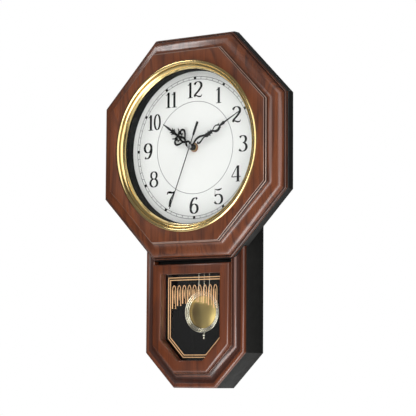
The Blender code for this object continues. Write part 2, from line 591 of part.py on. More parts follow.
# ---- movement ------------------------------------------------------------------------------
def make_movement(home, looks):
    front = MOVEMENT_FRONT_OUT
    half = MOVEMENT_HALF
    room = half - MOVEMENT_WALL

    def cut(body, bm, operation="DIFFERENCE"):
        combine(body, piece("tool", bm, looks["movement"], home), operation)

    case = piece("movement_case", box((-half, half), (-half, half), (MOVEMENT_SPLIT_OUT, front)),
                 looks["movement"], home)
    cut(case, box((-room, room), (-room, room), (MOVEMENT_SPLIT_OUT - OVERRUN, front - MOVEMENT_WALL)))
    cut(case, rod(BUSH_RADIUS, front - 1 * MM, BUSH_OUT, 24), "UNION")
    cut(case, rod(BUSH_BORE, front - OVERRUN, BUSH_OUT + OVERRUN, 24))

    cover_front = MOVEMENT_SPLIT_OUT - FIT
    cover = piece("movement_cover", box((-half, half), (-half, half), (MOVEMENT_BACK_OUT, cover_front)),
                  looks["movement"], home)
    cover_floor = MOVEMENT_BACK_OUT + MOVEMENT_FLOOR
    cut(cover, box((-room, room), (-room, room), (cover_floor, cover_front + OVERRUN)))
    battery_z = -(room - BATTERY_RADIUS - FIT)
    bay_top = battery_z + BATTERY_RADIUS + FIT
    behind = MOVEMENT_BACK_OUT - OVERRUN
    cut(cover, box((-room, room), (-room, bay_top), (behind, cover_floor + 1 * MM)))
    cut(cover, rod(SETTING_SHAFT + FIT, behind, cover_floor + OVERRUN, 24, (SETTING_DISTANCE, 0.0)))

    # battery across the bottom of the movement, between its two contact strips
    battery_out = cover_floor - 0.1 * MM + BATTERY_RADIUS
    battery = circle(BATTERY_RADIUS, 24)
    ends = [[Vector((x, -battery_out + a, battery_z + b)) for a, b in battery]
            for x in (-BATTERY_LENGTH / 2, BATTERY_LENGTH / 2)]
    piece("battery", rings_to_solid(ends), looks["battery"], home, smooth=True)
    contact_x = BATTERY_LENGTH / 2 + FIT
    for label, side in (("minus", -1), ("plus", 1)):
        xs = sorted((side * contact_x, side * (contact_x + CONTACT_THICK)))
        piece("contact_" + label,
              box(xs, (battery_z - CONTACT_HALF, battery_z + CONTACT_HALF),
                  (battery_out - CONTACT_HALF, battery_out + CONTACT_HALF)), looks["steel"], home)

    board_front = front - MOVEMENT_WALL - FIT
    board_back = board_front - BOARD_SHEET
    piece("circuit_board", box((-BOARD_HALF_LENGTH, BOARD_HALF_LENGTH), (BOARD_LOW, room - FIT),
                               (board_back, board_front)), looks["board_green"], home)
    coil_out = board_back - FIT - COIL_RADIUS
    coil_z = (BOARD_LOW + room) / 2
    coil = [[Vector((x, -coil_out + a, coil_z + b)) for a, b in circle(COIL_RADIUS, 20)]
            for x in (-COIL_HALF_LENGTH, COIL_HALF_LENGTH)]
    piece("motor_coil", rings_to_solid(coil), looks["copper"], home, smooth=True)


def make_wheels(home, looks):
    """Hand arbors and the wheels on them; every arbor runs inside the next one out."""
    wheel_front = MOVEMENT_FRONT_OUT - MOVEMENT_WALL - HOUR_WHEEL_BELOW
    hour_disc = (wheel_front - WHEEL_THICK, wheel_front)
    motion_front = hour_disc[0] - 1.3 * MM
    motion_disc = (motion_front - WHEEL_THICK, motion_front)
    minute_front = motion_disc[0] - 0.7 * MM
    minute_disc = (minute_front - 0.8 * MM, minute_front)
    second_front = minute_disc[0] - 0.4 * MM
    second_disc = (second_front - 0.8 * MM, second_front)
    reach = MOTION_DISTANCE - FIT
    hour_tip = reach * HOUR_TEETH / (HOUR_TEETH + MOTION_PINION_TEETH)
    motion_tip = reach * MOTION_TEETH / (MOTION_TEETH + MINUTE_PINION_TEETH)
    pipe = BUSH_BORE - RUN
    pipe_bore = pipe - PIPE_WALL
    minute = pipe_bore - RUN
    minute_bore = minute - MINUTE_WALL
    second = minute_bore - RUN

    def wheel(name, parts, bore, centre=(0.0, 0.0), look="nylon"):
        axis = empty(name + "_axis", (centre[0], 0.0, centre[1]), home)
        body = piece(name, parts[0], looks[look], axis)
        for part in parts[1:]:
            combine(body, piece("tool", part, looks[look], axis), "UNION")
        if bore:
            combine(body, piece("tool", rod(bore, 0.0, FIELD_OUT, 20), looks[look], axis))
        return body

    wheel("hour_wheel", [prism(toothed(HOUR_TEETH, hour_tip, TOOTH), *hour_disc),
                         rod(pipe, hour_disc[0] - 0.3 * MM, HOUR_HAND_OUT + HAND_THICK, 24)], pipe_bore)
    wheel("minute_wheel", [prism(toothed(MINUTE_TEETH, MINUTE_TIP, TOOTH), *minute_disc),
                           prism(toothed(MINUTE_PINION_TEETH, reach - motion_tip, TOOTH),
                                 motion_disc[0], motion_disc[1]),
                           rod(minute, minute_disc[0] - 0.3 * MM, MINUTE_HAND_OUT + HAND_THICK, 24)],
          minute_bore)
    wheel("second_wheel", [prism(toothed(SECOND_TEETH, SECOND_TIP, TOOTH), *second_disc),
                           rod(second, second_disc[0] - 1.5 * MM, SECOND_HAND_OUT + HAND_THICK, 16)],
          None, look="steel")
    stud_front = MOVEMENT_FRONT_OUT - MOVEMENT_WALL - FIT
    wheel("motion_wheel", [prism(toothed(MOTION_TEETH, motion_tip, TOOTH), *motion_disc),
                           prism(toothed(MOTION_PINION_TEETH, reach - hour_tip, TOOTH),
                                 motion_disc[1] - 0.5 * MM, hour_disc[1] + 0.2 * MM),
                           rod(1.0 * MM, MOVEMENT_BACK_OUT + MOVEMENT_FLOOR + FIT, stud_front, 16)],
          None, (-MOTION_DISTANCE, 0.0))

    knob_front = MOVEMENT_BACK_OUT - FIT
    knob = [rod(SETTING_RADIUS, knob_front - KNOB_LENGTH, knob_front, 18),
            rod(SETTING_SHAFT, knob_front - KNOB_LENGTH / 2, minute_disc[1], 16),
            prism(toothed(SETTING_TEETH, SETTING_TIP, TOOTH), *minute_disc)]
    wheel("setting_knob", knob, None, (SETTING_DISTANCE, 0.0))
    return pipe, minute, second


# ---- hands ---------------------------------------------------------------------------------
def make_hands(home, looks, pipe, minute, second):
    def blade(points, out):
        outline = points + [(-x, z) for x, z in reversed(points)]
        return prism(outline, out, out + HAND_THICK)

    def add(body, bm, operation="UNION"):
        combine(body, piece("tool", bm, looks["hand_black"], body.parent), operation)

    def scroll(body, x, z, radius, out):
        """Open ring of a scrolled hand."""
        add(body, rod(radius, out, out + HAND_THICK, 12, (x, z)))
        add(body, rod(radius * 0.5, out - 1 * MM, out + 1 * MM, 8, (x, z)), "DIFFERENCE")

    def hand(name, angle, points, out, boss, bore, boss_range, scrolls):
        axis = empty(name + "_axis", (0.0, 0.0, 0.0), home)
        axis.rotation_euler = (0.0, angle, 0.0)
        body = piece(name, blade([(x * MM, z * MM) for x, z in points], out), looks["hand_black"], axis)
        for x, z, radius in scrolls:
            for side in ((1, -1) if x else (1,)):
                scroll(body, side * x * MM, z * MM, radius * MM, out)
        add(body, rod(boss, boss_range[0], boss_range[1], 24))
        add(body, rod(bore, 0.0, FIELD_OUT, 20), "DIFFERENCE")
        return body

    long_hour = HOUR_LENGTH / MM
    hand("hour_hand", HOUR_ANGLE,
         [(1.6, 0.0), (1.3, 10.0), (1.1, 30.0), (0.9, 44.0), (0.15, long_hour)],
         HOUR_HAND_OUT, 4.3 * MM, pipe + FIT, (HOUR_HAND_OUT - BOSS_BACK, HOUR_HAND_OUT + BOSS_FRONT),
         [(5.0, 16.5, 4.0), (4.6, 25.0, 3.6)])
    long_minute = MINUTE_LENGTH / MM
    hand("minute_hand", MINUTE_ANGLE,
         [(1.4, 0.0), (1.1, 12.0), (1.0, 40.0), (0.8, 60.0), (0.15, long_minute)],
         MINUTE_HAND_OUT, 3.7 * MM, minute + FIT,
         (MINUTE_HAND_OUT - BOSS_BACK, MINUTE_HAND_OUT + BOSS_FRONT),
         [(3.4, 11.5, 3.0), (2.4, 34.0, 2.2), (2.2, 50.0, 2.0)])
    tail = SECOND_TAIL / MM
    tip = SECOND_LENGTH / MM
    seconds = hand("second_hand", SECOND_ANGLE,
                   [(0.9, -tail), (0.6, -8.0), (0.6, 0.0), (0.45, 20.0), (0.25, tip)],
                   SECOND_HAND_OUT, 3.0 * MM, second + FIT,
                   (SECOND_HAND_OUT - 1.0 * MM, SECOND_HAND_OUT + SECOND_BOSS_FRONT), [])
    piece("hand_cap", turned_solid([(3.2 * MM, CAP_BACK_OUT), (3.2 * MM, CAP_BACK_OUT + 0.6 * CAP_RISE),
                                    (2.2 * MM, CAP_BACK_OUT + CAP_RISE)], 24),
          looks["steel"], seconds.parent, smooth=True)


# ---- pendulum ------------------------------------------------------------------------------
def make_pendulum(home, looks):
    drive_top = -(MOVEMENT_HALF + FIT)
    drive_back = LEVER_OUT + LEVER_THICK + FIT + 0.3 * MM
    drive = piece("pendulum_drive", box((-DRIVE_HALF_WIDTH, DRIVE_HALF_WIDTH),
                                        (drive_top - DRIVE_HEIGHT, drive_top),
                                        (drive_back, drive_back + DRIVE_DEPTH)), looks["movement"], home)
    pin_depth = 4.0 * MM
    hole = rod(PIN_RADIUS + FIT, drive_back - OVERRUN, drive_back + pin_depth + FIT, 16, (0.0, -PIVOT_BELOW))
    combine(drive, piece("tool", hole, looks["movement"], home))
    piece("pivot_pin", rod(PIN_RADIUS, LEVER_OUT - 2 * MM, drive_back + pin_depth, 16, (0.0, -PIVOT_BELOW)),
          looks["steel"], home, smooth=True)

    swing = empty("pendulum_axis", (0.0, 0.0, -PIVOT_BELOW), home)
    lever_face = (LEVER_OUT, LEVER_OUT + LEVER_THICK)
    lever = piece("pendulum_lever", rod(4.0 * MM, lever_face[0], lever_face[1], 24), looks["nylon"], swing)
    arm_end = -(LEVER_END - PIVOT_BELOW)
    arm = box((-3 * MM, 3 * MM), (arm_end, 0.0), lever_face)
    combine(lever, piece("tool", arm, looks["nylon"], swing), "UNION")
    foot = box((-3 * MM, 3 * MM), (arm_end, arm_end + 10 * MM), (ROD_OUT + 1.8 * MM, lever_face[0] + 1 * MM))
    combine(lever, piece("tool", foot, looks["nylon"], swing), "UNION")
    bore = rod(PIN_RADIUS + FIT, lever_face[0] - OVERRUN, lever_face[1] + OVERRUN, 16)
    combine(lever, piece("tool", bore, looks["nylon"], swing))

    bridge_half = 1.5 * MM
    bridge_low = arm_end + 2 * MM
    piece("rod_bridge", box((-ROD_SPACING - 3 * MM, ROD_SPACING + 3 * MM), (bridge_low, bridge_low + 6 * MM),
                            (ROD_OUT - bridge_half, ROD_OUT + bridge_half)), looks["steel"], swing)
    bob = -(BOB_BELOW - PIVOT_BELOW)
    nut_top = bob - BOB_RADIUS - 1.5 * MM
    rods = [("left", -ROD_SPACING, bob), ("centre", 0.0, nut_top + FIT), ("right", ROD_SPACING, bob)]
    for label, x, low in rods:
        ends = [[Vector((x + a, -ROD_OUT + b, z)) for a, b in circle(ROD_RADIUS, 12)]
                for z in (low, bridge_low - FIT)]
        piece("pendulum_rod_" + label, rings_to_solid(ends), looks["silver"], swing, smooth=True)

    back = BOB_BACK_OUT
    ring = [(BOB_RADIUS, back + 0.6 * MM), (BOB_RADIUS, back + 4.0 * MM), (BOB_RADIUS - 0.7 * MM, back + 4.6 * MM),
            (BOB_RADIUS - 1.6 * MM, back + 4.2 * MM), (BOB_RADIUS - 3.4 * MM, back + 2.4 * MM),
            (BOB_RADIUS - 4.6 * MM, back + 2.2 * MM), (DOME_RADIUS + FIT, back + 1.2 * MM),
            (DOME_RADIUS + FIT, back)]
    piece("bob_ring", turned(ring, 36, (0.0, bob)), looks["silver"], swing, smooth=True)
    dome_steps = 6
    ball = (DOME_RADIUS ** 2 + DOME_RISE ** 2) / (2 * DOME_RISE)
    sweep = math.asin(DOME_RADIUS / ball)
    crown = [(DOME_RADIUS, back)]
    for i in range(dome_steps):
        angle = sweep * (1 - i / dome_steps)
        crown.append((ball * math.sin(angle), back + 0.8 * MM + ball * (math.cos(angle) - math.cos(sweep))))
    piece("bob_dome", turned_solid(crown, 36, (0.0, bob)), looks["brass"], swing, smooth=True)

    def lathe_z(name, section):
        rings = [[Vector((a, -ROD_OUT + b, z)) for a, b in circle(r, 16)] for r, z in section]
        piece(name, rings_to_solid(rings), looks["silver"], swing, smooth=True)

    lathe_z("rating_nut", [(1.6 * MM, nut_top), (3.2 * MM, nut_top - 0.6 * MM), (3.2 * MM, nut_top - 2.2 * MM),
                           (1.6 * MM, nut_top - 2.8 * MM)])
    ball_radius = 1.9 * MM
    ball_z = nut_top - 2.8 * MM - FIT - ball_radius
    turns = [math.radians(a) for a in (65, 40, 15, -15, -40, -65)]
    lathe_z("rod_finial", [(ball_radius * math.cos(a), ball_z + ball_radius * math.sin(a)) for a in turns])


def build():
    clear_scene()
    looks = {
        "walnut": finish("walnut", (0.155, 0.048, 0.022), 0.32),
        "black_paint": finish("black_paint", (0.012, 0.012, 0.011), 0.35),
        "panel_black": finish("panel_black", (0.02, 0.02, 0.019), 0.6),
        "gold": finish("gold", (0.83, 0.58, 0.2), 0.16, 1.0),
        "brass": finish("brass", (0.56, 0.47, 0.2), 0.25, 1.0),
        "silver": finish("silver", (0.72, 0.7, 0.62), 0.2, 1.0),
        "steel": finish("steel", (0.5, 0.5, 0.5), 0.35, 1.0),
        "glass": finish("glass", (0.9, 0.95, 0.95), 0.03),
        "black_liner": finish("black_liner", (0.015, 0.015, 0.015), 0.5),
        "dial_white": finish("dial_white", (0.88, 0.88, 0.87), 0.45),
        "fibre_brown": finish("fibre_brown", (0.3, 0.11, 0.05), 0.6),
        "hand_black": finish("hand_black", (0.008, 0.008, 0.008), 0.35),
        "movement": finish("movement", (0.02, 0.02, 0.022), 0.45),
        "nylon": finish("nylon", (0.75, 0.74, 0.7), 0.5),
        "copper": finish("copper", (0.6, 0.24, 0.1), 0.35, 1.0),
        "board_green": finish("board_green", (0.02, 0.16, 0.06), 0.5),
        "battery": finish("battery", (0.1, 0.12, 0.16), 0.35),
        "plain_wood": finish("plain_wood", (0.45, 0.3, 0.16), 0.7),
    }
    home = empty("dial_axis", (0.0, 0.0, -HANG_ABOVE_DIAL))
    make_head(home, looks)
    make_bezel_and_dial(home, looks)
    make_drop_case(home, looks)
    make_back(home, looks)
    make_movement(home, looks)
    pipe, minute, second = make_wheels(home, looks)
    make_hands(home, looks, pipe, minute, second)
    make_pendulum(home, looks)


build()
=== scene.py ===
"""Looks of the octagonal pendulum wall clock: veneered mouldings, printed dial, scrolled hands."""

import json
import math

import bpy
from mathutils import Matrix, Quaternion, Vector


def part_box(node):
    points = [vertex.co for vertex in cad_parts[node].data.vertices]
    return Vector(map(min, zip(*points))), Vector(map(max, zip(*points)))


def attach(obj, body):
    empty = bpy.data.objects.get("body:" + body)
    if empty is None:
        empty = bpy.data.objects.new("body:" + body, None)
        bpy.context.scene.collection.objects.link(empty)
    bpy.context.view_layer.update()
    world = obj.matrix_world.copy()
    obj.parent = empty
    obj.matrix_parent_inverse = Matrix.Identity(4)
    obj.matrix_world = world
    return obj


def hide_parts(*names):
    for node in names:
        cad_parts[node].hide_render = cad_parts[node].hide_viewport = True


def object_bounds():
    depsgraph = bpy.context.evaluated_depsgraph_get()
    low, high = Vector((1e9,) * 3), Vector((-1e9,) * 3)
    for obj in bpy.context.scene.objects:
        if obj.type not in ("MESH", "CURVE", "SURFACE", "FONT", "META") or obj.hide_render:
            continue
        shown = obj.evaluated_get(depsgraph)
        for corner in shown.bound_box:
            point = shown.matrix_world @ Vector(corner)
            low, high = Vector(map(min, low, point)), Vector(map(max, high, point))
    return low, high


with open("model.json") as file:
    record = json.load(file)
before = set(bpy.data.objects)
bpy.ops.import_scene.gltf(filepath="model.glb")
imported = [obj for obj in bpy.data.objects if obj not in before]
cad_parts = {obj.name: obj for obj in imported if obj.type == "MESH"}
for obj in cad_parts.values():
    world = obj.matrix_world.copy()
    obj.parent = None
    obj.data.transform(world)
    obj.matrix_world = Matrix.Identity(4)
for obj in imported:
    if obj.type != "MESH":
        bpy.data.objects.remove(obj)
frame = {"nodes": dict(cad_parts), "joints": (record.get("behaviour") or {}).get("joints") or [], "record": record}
cad_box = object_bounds()

MM = 0.001
NODES = frame["nodes"]
BODIES = frame["record"]["behaviour"]["bodies"]
CASE = "case"

# ---- places read from the frame -----------------------------------------------------------
JOINTS = {joint["name"]: Vector(joint["pos_m"]) for joint in frame["joints"]}
DIAL_Z = JOINTS["minute_hand_turn"].z
DIAL_FACE = -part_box("dial_plate")[0].y          # distances out from the wall, towards the room
FIELD_FACE = -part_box("octagon_frame")[0].y
BEZEL_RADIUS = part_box("bezel_ring")[1].x
GLASS_FACE = -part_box("dial_glass")[0].y
LINER_BACK = -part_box("recess_liner")[1].y
WINDOW_FACE = -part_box("window_glass")[0].y
SIGHT_RADIUS = 99.0 * MM


# ---- modelling ----------------------------------------------------------------------------
def deselect():
    bpy.ops.object.select_all(action="DESELECT")


def work_on(thing):
    deselect()
    thing.select_set(True)
    bpy.context.view_layer.objects.active = thing


def settle(thing, name):
    """Name a finished piece and apply its place to its mesh."""
    work_on(thing)
    bpy.ops.object.transform_apply(location=True, rotation=True, scale=True)
    thing.name = name
    thing.data.name = name
    return thing


def smooth(thing, degrees=35):
    work_on(thing)
    bpy.ops.object.shade_smooth_by_angle(angle=math.radians(degrees))


def apply_modifier(thing, kind, **settings):
    work_on(thing)
    modifier = thing.modifiers.new(kind.lower(), kind)
    for key, value in settings.items():
        setattr(modifier, key, value)
    bpy.ops.object.modifier_apply(modifier=modifier.name)


def turned(name, section, steps, centre=(0.0, DIAL_Z), closed=True, faceted=False):
    """Turn a section of (radius, distance out) round the Y direction by extruding a ring.

    A closed section comes back to its first ring; an open one is capped at both ends.
    """
    x, z = centre
    radius, out = section[0]
    deselect()
    bpy.ops.mesh.primitive_circle_add(vertices=steps, radius=radius, location=(x, -out, z),
                                      rotation=(math.pi / 2, 0.0, 0.0), fill_type="NOTHING")
    thing = bpy.context.object
    bpy.ops.object.mode_set(mode="EDIT")
    bpy.ops.mesh.select_all(action="SELECT")
    if not closed:
        bpy.ops.mesh.edge_face_add()
        bpy.ops.mesh.select_all(action="SELECT")
        bpy.ops.mesh.extrude_region_move()
    last_radius, last_out = radius, out
    for index, (radius, out) in enumerate(section[1:]):
        if closed or index > 0:
            bpy.ops.mesh.extrude_region_move()
        ratio = radius / last_radius
        bpy.ops.transform.resize(value=(ratio, 1.0, ratio), center_override=(x, -last_out, z))
        bpy.ops.transform.translate(value=(0.0, last_out - out, 0.0))
        last_radius, last_out = radius, out
    bpy.ops.mesh.select_all(action="SELECT")
    if closed:
        bpy.ops.mesh.select_all(action="DESELECT")
        bpy.ops.object.mode_set(mode="OBJECT")
        count = len(thing.data.vertices)
        for vertex in thing.data.vertices:
            vertex.select = vertex.index < steps or vertex.index >= count - steps
        bpy.ops.object.mode_set(mode="EDIT")
        bpy.ops.mesh.bridge_edge_loops()
    bpy.ops.mesh.select_all(action="SELECT")
    bpy.ops.mesh.normals_make_consistent(inside=False)
    bpy.ops.object.mode_set(mode="OBJECT")
    settle(thing, name)
    if not faceted:
        smooth(thing)
    return thing


def softened(node, width=0.3, segments=2, angle=30, name=None):
    """A copy of a CAD node with its triangles merged into faces and its arrises eased."""
    source = NODES[node]
    thing = source.copy()
    thing.data = source.data.copy()
    bpy.context.scene.collection.objects.link(thing)
    thing.parent = None
    for key in list(thing.keys()):
        del thing[key]
    work_on(thing)
    bpy.ops.object.mode_set(mode="EDIT")
    bpy.ops.mesh.select_all(action="SELECT")
    bpy.ops.mesh.remove_doubles(threshold=0.00001)
    bpy.ops.mesh.dissolve_limited(angle_limit=math.radians(0.2))
    bpy.ops.object.mode_set(mode="OBJECT")
    thing.name = name or node + "_finished"
    thing.data.name = thing.name
    if width:
        apply_modifier(thing, "BEVEL", width=width * MM, segments=segments, limit_method="ANGLE",
                       angle_limit=math.radians(angle), harden_normals=False)
    smooth(thing, 32)
    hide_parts(node)
    return thing


def strokes(name, lines, thick, centre, out, turn=0.0, sides=3):
    """Flat pen strokes lying on a face: each line is a list of (x, z, half width), all in mm.

    The strokes are round tubes pressed flat to the given thickness, then turned clockwise.
    """
    deselect()
    bpy.ops.curve.primitive_bezier_curve_add()
    thing = bpy.context.object
    curve = thing.data
    curve.splines.clear()
    curve.dimensions = "3D"
    curve.bevel_depth = MM
    curve.bevel_resolution = sides
    curve.use_fill_caps = True
    for line in lines:
        spline = curve.splines.new("POLY")
        spline.points.add(len(line) - 1)
        for point, (x, z, half) in zip(spline.points, line):
            point.co = (x * MM, 0.0, z * MM, 1.0)
            point.radius = half
    work_on(thing)
    bpy.ops.object.convert(target="MESH")
    thing = bpy.context.object
    bpy.ops.object.mode_set(mode="EDIT")
    bpy.ops.mesh.select_all(action="SELECT")
    widest = max(half for line in lines for x, z, half in line)
    press = thick / (2 * widest * MM)
    bpy.ops.transform.resize(value=(1.0, press, 1.0), center_override=(0.0, 0.0, 0.0))
    bpy.ops.object.mode_set(mode="OBJECT")
    thing.rotation_euler = (0.0, turn, 0.0)
    thing.location = (centre[0], -out, centre[1])
    settle(thing, name)
    smooth(thing, 50)
    return thing


# ---- lines for pen strokes ----------------------------------------------------------------
def arc(cx, cz, rx, rz, start, stop, steps=14):
    """Points on an ellipse, degrees anticlockwise from the right."""
    points = []
    for i in range(steps + 1):
        angle = math.radians(start + (stop - start) * i / steps)
        points.append((cx + rx * math.cos(angle), cz + rz * math.sin(angle)))
    return points


def curve_through(points, steps=8):
    """Smooth line through a few points."""
    result = []
    ends = [points[0]] + list(points) + [points[-1]]
    for a, b, c, d in zip(ends, ends[1:], ends[2:], ends[3:]):
        for i in range(steps):
            t = i / steps
            weights = ((-t + 2 * t * t - t ** 3) / 2, (2 - 5 * t * t + 3 * t ** 3) / 2,
                       (t + 4 * t * t - 3 * t ** 3) / 2, (t ** 3 - t * t) / 2)
            result.append(tuple(sum(w * p[k] for w, p in zip(weights, (a, b, c, d))) for k in (0, 1)))
    result.append(tuple(points[-1]))
    return result


def pen(points, thin, thick):
    """Give a line the weight of a pointed pen: heavy where it runs upright, light across."""
    line = []
    for i, point in enumerate(points):
        before = points[max(i - 1, 0)]
        after = points[min(i + 1, len(points) - 1)]
        dx, dz = after[0] - before[0], after[1] - before[1]
        upright = abs(dz) / max(math.hypot(dx, dz), 1e-9)
        line.append((point[0], point[1], thin + (thick - thin) * upright ** 1.6))
    return line


def even(points, half):
    return [(x, z, half) for x, z in points]


def tapered(points, first, last):
    count = len(points) - 1
    return [(x, z, first + (last - first) * i / count) for i, (x, z) in enumerate(points)]


def swelling(points, end, middle):
    count = len(points) - 1
    return [(x, z, end + (middle - end) * math.sin(math.pi * i / count))
            for i, (x, z) in enumerate(points)]


def dot(x, z, half):
    return [(x - 0.05 * half, z, half), (x + 0.05 * half, z, half)]


def moved(lines, dx, dz):
    return [[(dx + x, dz + z, half) for x, z, half in line] for line in lines]


# ---- shader tools -------------------------------------------------------------------------
def node(tree, kind, inputs=None, **settings):
    """Add a shader node; inputs are values or other nodes' sockets."""
    new = tree.nodes.new("ShaderNode" + kind)
    for key, value in settings.items():
        setattr(new, key, value)
    for key, value in (inputs or {}).items():
        if isinstance(value, bpy.types.NodeSocket):
            tree.links.new(value, new.inputs[key])
        else:
            new.inputs[key].default_value = value
    return new


def math_node(tree, operation, first, second=0.0):
    return node(tree, "Math", {0: first, 1: second}, operation=operation).outputs[0]


def ramp(tree, value, stops):
    """Colour ramp from (position, grey or colour) stops."""
    new = node(tree, "ValToRGB", {"Fac": value})
    elements = new.color_ramp.elements
    while len(elements) < len(stops):
        elements.new(0.5)
    for element, (position, colour) in zip(elements, stops):
        element.position = position
        element.color = colour if len(colour) == 4 else (*colour, 1.0)
    return new.outputs["Color"]


def grey(value):
    return (value, value, value, 1.0)


def mix(tree, share, first, second, blend="MIX"):
    new = node(tree, "Mix", data_type="RGBA", blend_type=blend)
    for key, value in ((0, share), (6, first), (7, second)):
        if isinstance(value, bpy.types.NodeSocket):
            tree.links.new(value, new.inputs[key])
        else:
            new.inputs[key].default_value = value
    return new.outputs[2]


def new_group(name, inputs, outputs):
    """Shader group with named inputs (name, kind, value) and outputs (name, kind)."""
    tree = bpy.data.node_groups.new(name, "ShaderNodeTree")
    for label, kind, value in inputs:
        socket = tree.interface.new_socket(label, in_out="INPUT", socket_type="NodeSocket" + kind)
        if value is not None:
            socket.default_value = value
    for label, kind in outputs:
        tree.interface.new_socket(label, in_out="OUTPUT", socket_type="NodeSocket" + kind)
    return tree, tree.nodes.new("NodeGroupInput").outputs, tree.nodes.new("NodeGroupOutput").inputs


def make_grain_group():
    """Veneer: cathedral figure drawn as contour lines of a stretched noise, fine pores, tone drift."""
    tree, given, result = new_group(
        "veneer_grain",
        [("Vector", "Vector", None), ("Light", "Color", (0.2, 0.07, 0.03, 1.0)),
         ("Dark", "Color", (0.06, 0.02, 0.01, 1.0)), ("Figure", "Float", 9.0), ("Pores", "Float", 0.5)],
        [("Color", "Color"), ("Roughness", "Float"), ("Height", "Float")])
    long = node(tree, "Mapping", {"Vector": given["Vector"], "Scale": (24.0, 24.0, 5.0)}).outputs[0]
    field = node(tree, "TexNoise", {"Vector": long, "Scale": 1.0, "Detail": 1.5, "Roughness": 0.45,
                                    "Distortion": 0.6}).outputs["Fac"]
    rings = math_node(tree, "FRACT", math_node(tree, "MULTIPLY", field, given["Figure"]))
    lines = ramp(tree, rings, [(0.0, grey(0.75)), (0.35, grey(0.15)), (0.72, grey(0.0)),
                               (0.93, grey(0.85)), (1.0, grey(0.75))])
    streak_space = node(tree, "Mapping", {"Vector": given["Vector"], "Scale": (520.0, 520.0, 9.0)}).outputs[0]
    streaks = node(tree, "TexNoise", {"Vector": streak_space, "Scale": 1.0, "Detail": 3.0,
                                      "Roughness": 0.6}).outputs["Fac"]
    fine = ramp(tree, streaks, [(0.3, grey(1.0)), (0.62, grey(0.0))])
    pore_space = node(tree, "Mapping", {"Vector": given["Vector"],
                                        "Scale": (1500.0, 1500.0, 70.0)}).outputs[0]
    pore_noise = node(tree, "TexNoise", {"Vector": pore_space, "Scale": 1.0, "Detail": 1.0}).outputs["Fac"]
    pores = ramp(tree, pore_noise, [(0.30, grey(1.0)), (0.42, grey(0.0))])
    drift = node(tree, "TexNoise", {"Vector": given["Vector"], "Scale": 16.0, "Detail": 2.0}).outputs["Fac"]
    shade = math_node(tree, "ADD", math_node(tree, "MULTIPLY", lines, 0.62),
                      math_node(tree, "MULTIPLY", fine, 0.42))
    pore_share = math_node(tree, "MULTIPLY", pores, given["Pores"])
    shade = math_node(tree, "ADD", shade, math_node(tree, "MULTIPLY", pore_share, 0.3))
    wander = math_node(tree, "SUBTRACT", drift, 0.5)
    shade = math_node(tree, "ADD", shade, math_node(tree, "MULTIPLY", wander, 0.5))
    clamped = node(tree, "Clamp", {"Value": shade}).outputs[0]
    tree.links.new(mix(tree, clamped, given["Light"], given["Dark"]), result["Color"])
    rough = math_node(tree, "ADD", 0.27, math_node(tree, "MULTIPLY", clamped, 0.14))
    tree.links.new(rough, result["Roughness"])
    tree.links.new(math_node(tree, "SUBTRACT", 1.0, clamped), result["Height"])
    return tree


def make_mottle_group():
    """Colour and roughness that wander a little, with a matching fine relief."""
    tree, given, result = new_group(
        "mottle",
        [("Vector", "Vector", None), ("Base", "Color", (0.5, 0.5, 0.5, 1.0)),
         ("Drift", "Float", 0.1), ("Scale", "Float", 60.0), ("Smooth", "Float", 0.3),
         ("Rough", "Float", 0.4)],
        [("Color", "Color"), ("Roughness", "Float"), ("Height", "Float")])
    noise = node(tree, "TexNoise", {"Vector": given["Vector"], "Scale": given["Scale"], "Detail": 5.0,
                                    "Roughness": 0.6}).outputs["Fac"]
    spread = ramp(tree, noise, [(0.3, grey(0.0)), (0.7, grey(1.0))])
    dim = math_node(tree, "SUBTRACT", 1.0, math_node(tree, "MULTIPLY", spread, given["Drift"]))
    darker = mix(tree, 1.0, given["Base"], dim, "MULTIPLY")
    tree.links.new(darker, result["Color"])
    span = math_node(tree, "SUBTRACT", given["Rough"], given["Smooth"])
    tree.links.new(math_node(tree, "ADD", given["Smooth"], math_node(tree, "MULTIPLY", spread, span)),
                   result["Roughness"])
    tree.links.new(noise, result["Height"])
    return tree


GRAIN = make_grain_group()
MOTTLE = make_mottle_group()


def new_material(name, group, values, relief=0.1, depth=0.0001, shift=(0.0, 0.0, 0.0), turn=(0.0, 0.0, 0.0),
                 **shader_values):
    """Principled material whose colour, roughness and relief come from a group on Object coordinates."""
    material = bpy.data.materials.new(name)
    material.use_nodes = True
    tree = material.node_tree
    shader = tree.nodes["Principled BSDF"]
    place = node(tree, "TexCoord").outputs["Object"]
    place = node(tree, "Mapping", {"Vector": place, "Location": shift, "Rotation": turn}).outputs[0]
    look = node(tree, "Group", node_tree=group)
    tree.links.new(place, look.inputs["Vector"])
    for key, value in values.items():
        look.inputs[key].default_value = value
    tree.links.new(look.outputs["Color"], shader.inputs["Base Color"])
    tree.links.new(look.outputs["Roughness"], shader.inputs["Roughness"])
    bump = node(tree, "Bump", {"Height": look.outputs["Height"], "Strength": relief, "Distance": depth})
    tree.links.new(bump.outputs[0], shader.inputs["Normal"])
    for key, value in shader_values.items():
        shader.inputs[key.replace("_", " ")].default_value = value
    return material


def veneer(name, light, dark, figure, **more):
    return new_material(name, GRAIN, {"Light": (*light, 1.0), "Dark": (*dark, 1.0), "Figure": figure},
                        relief=0.25, depth=0.00006, Coat_Weight=0.75, Coat_Roughness=0.18, **more)


def mottled(name, base, drift, scale, smooth_end, rough_end, relief=0.1, **more):
    return new_material(name, MOTTLE, {"Base": (*base, 1.0), "Drift": drift, "Scale": scale,
                                       "Smooth": smooth_end, "Rough": rough_end}, relief=relief, **more)


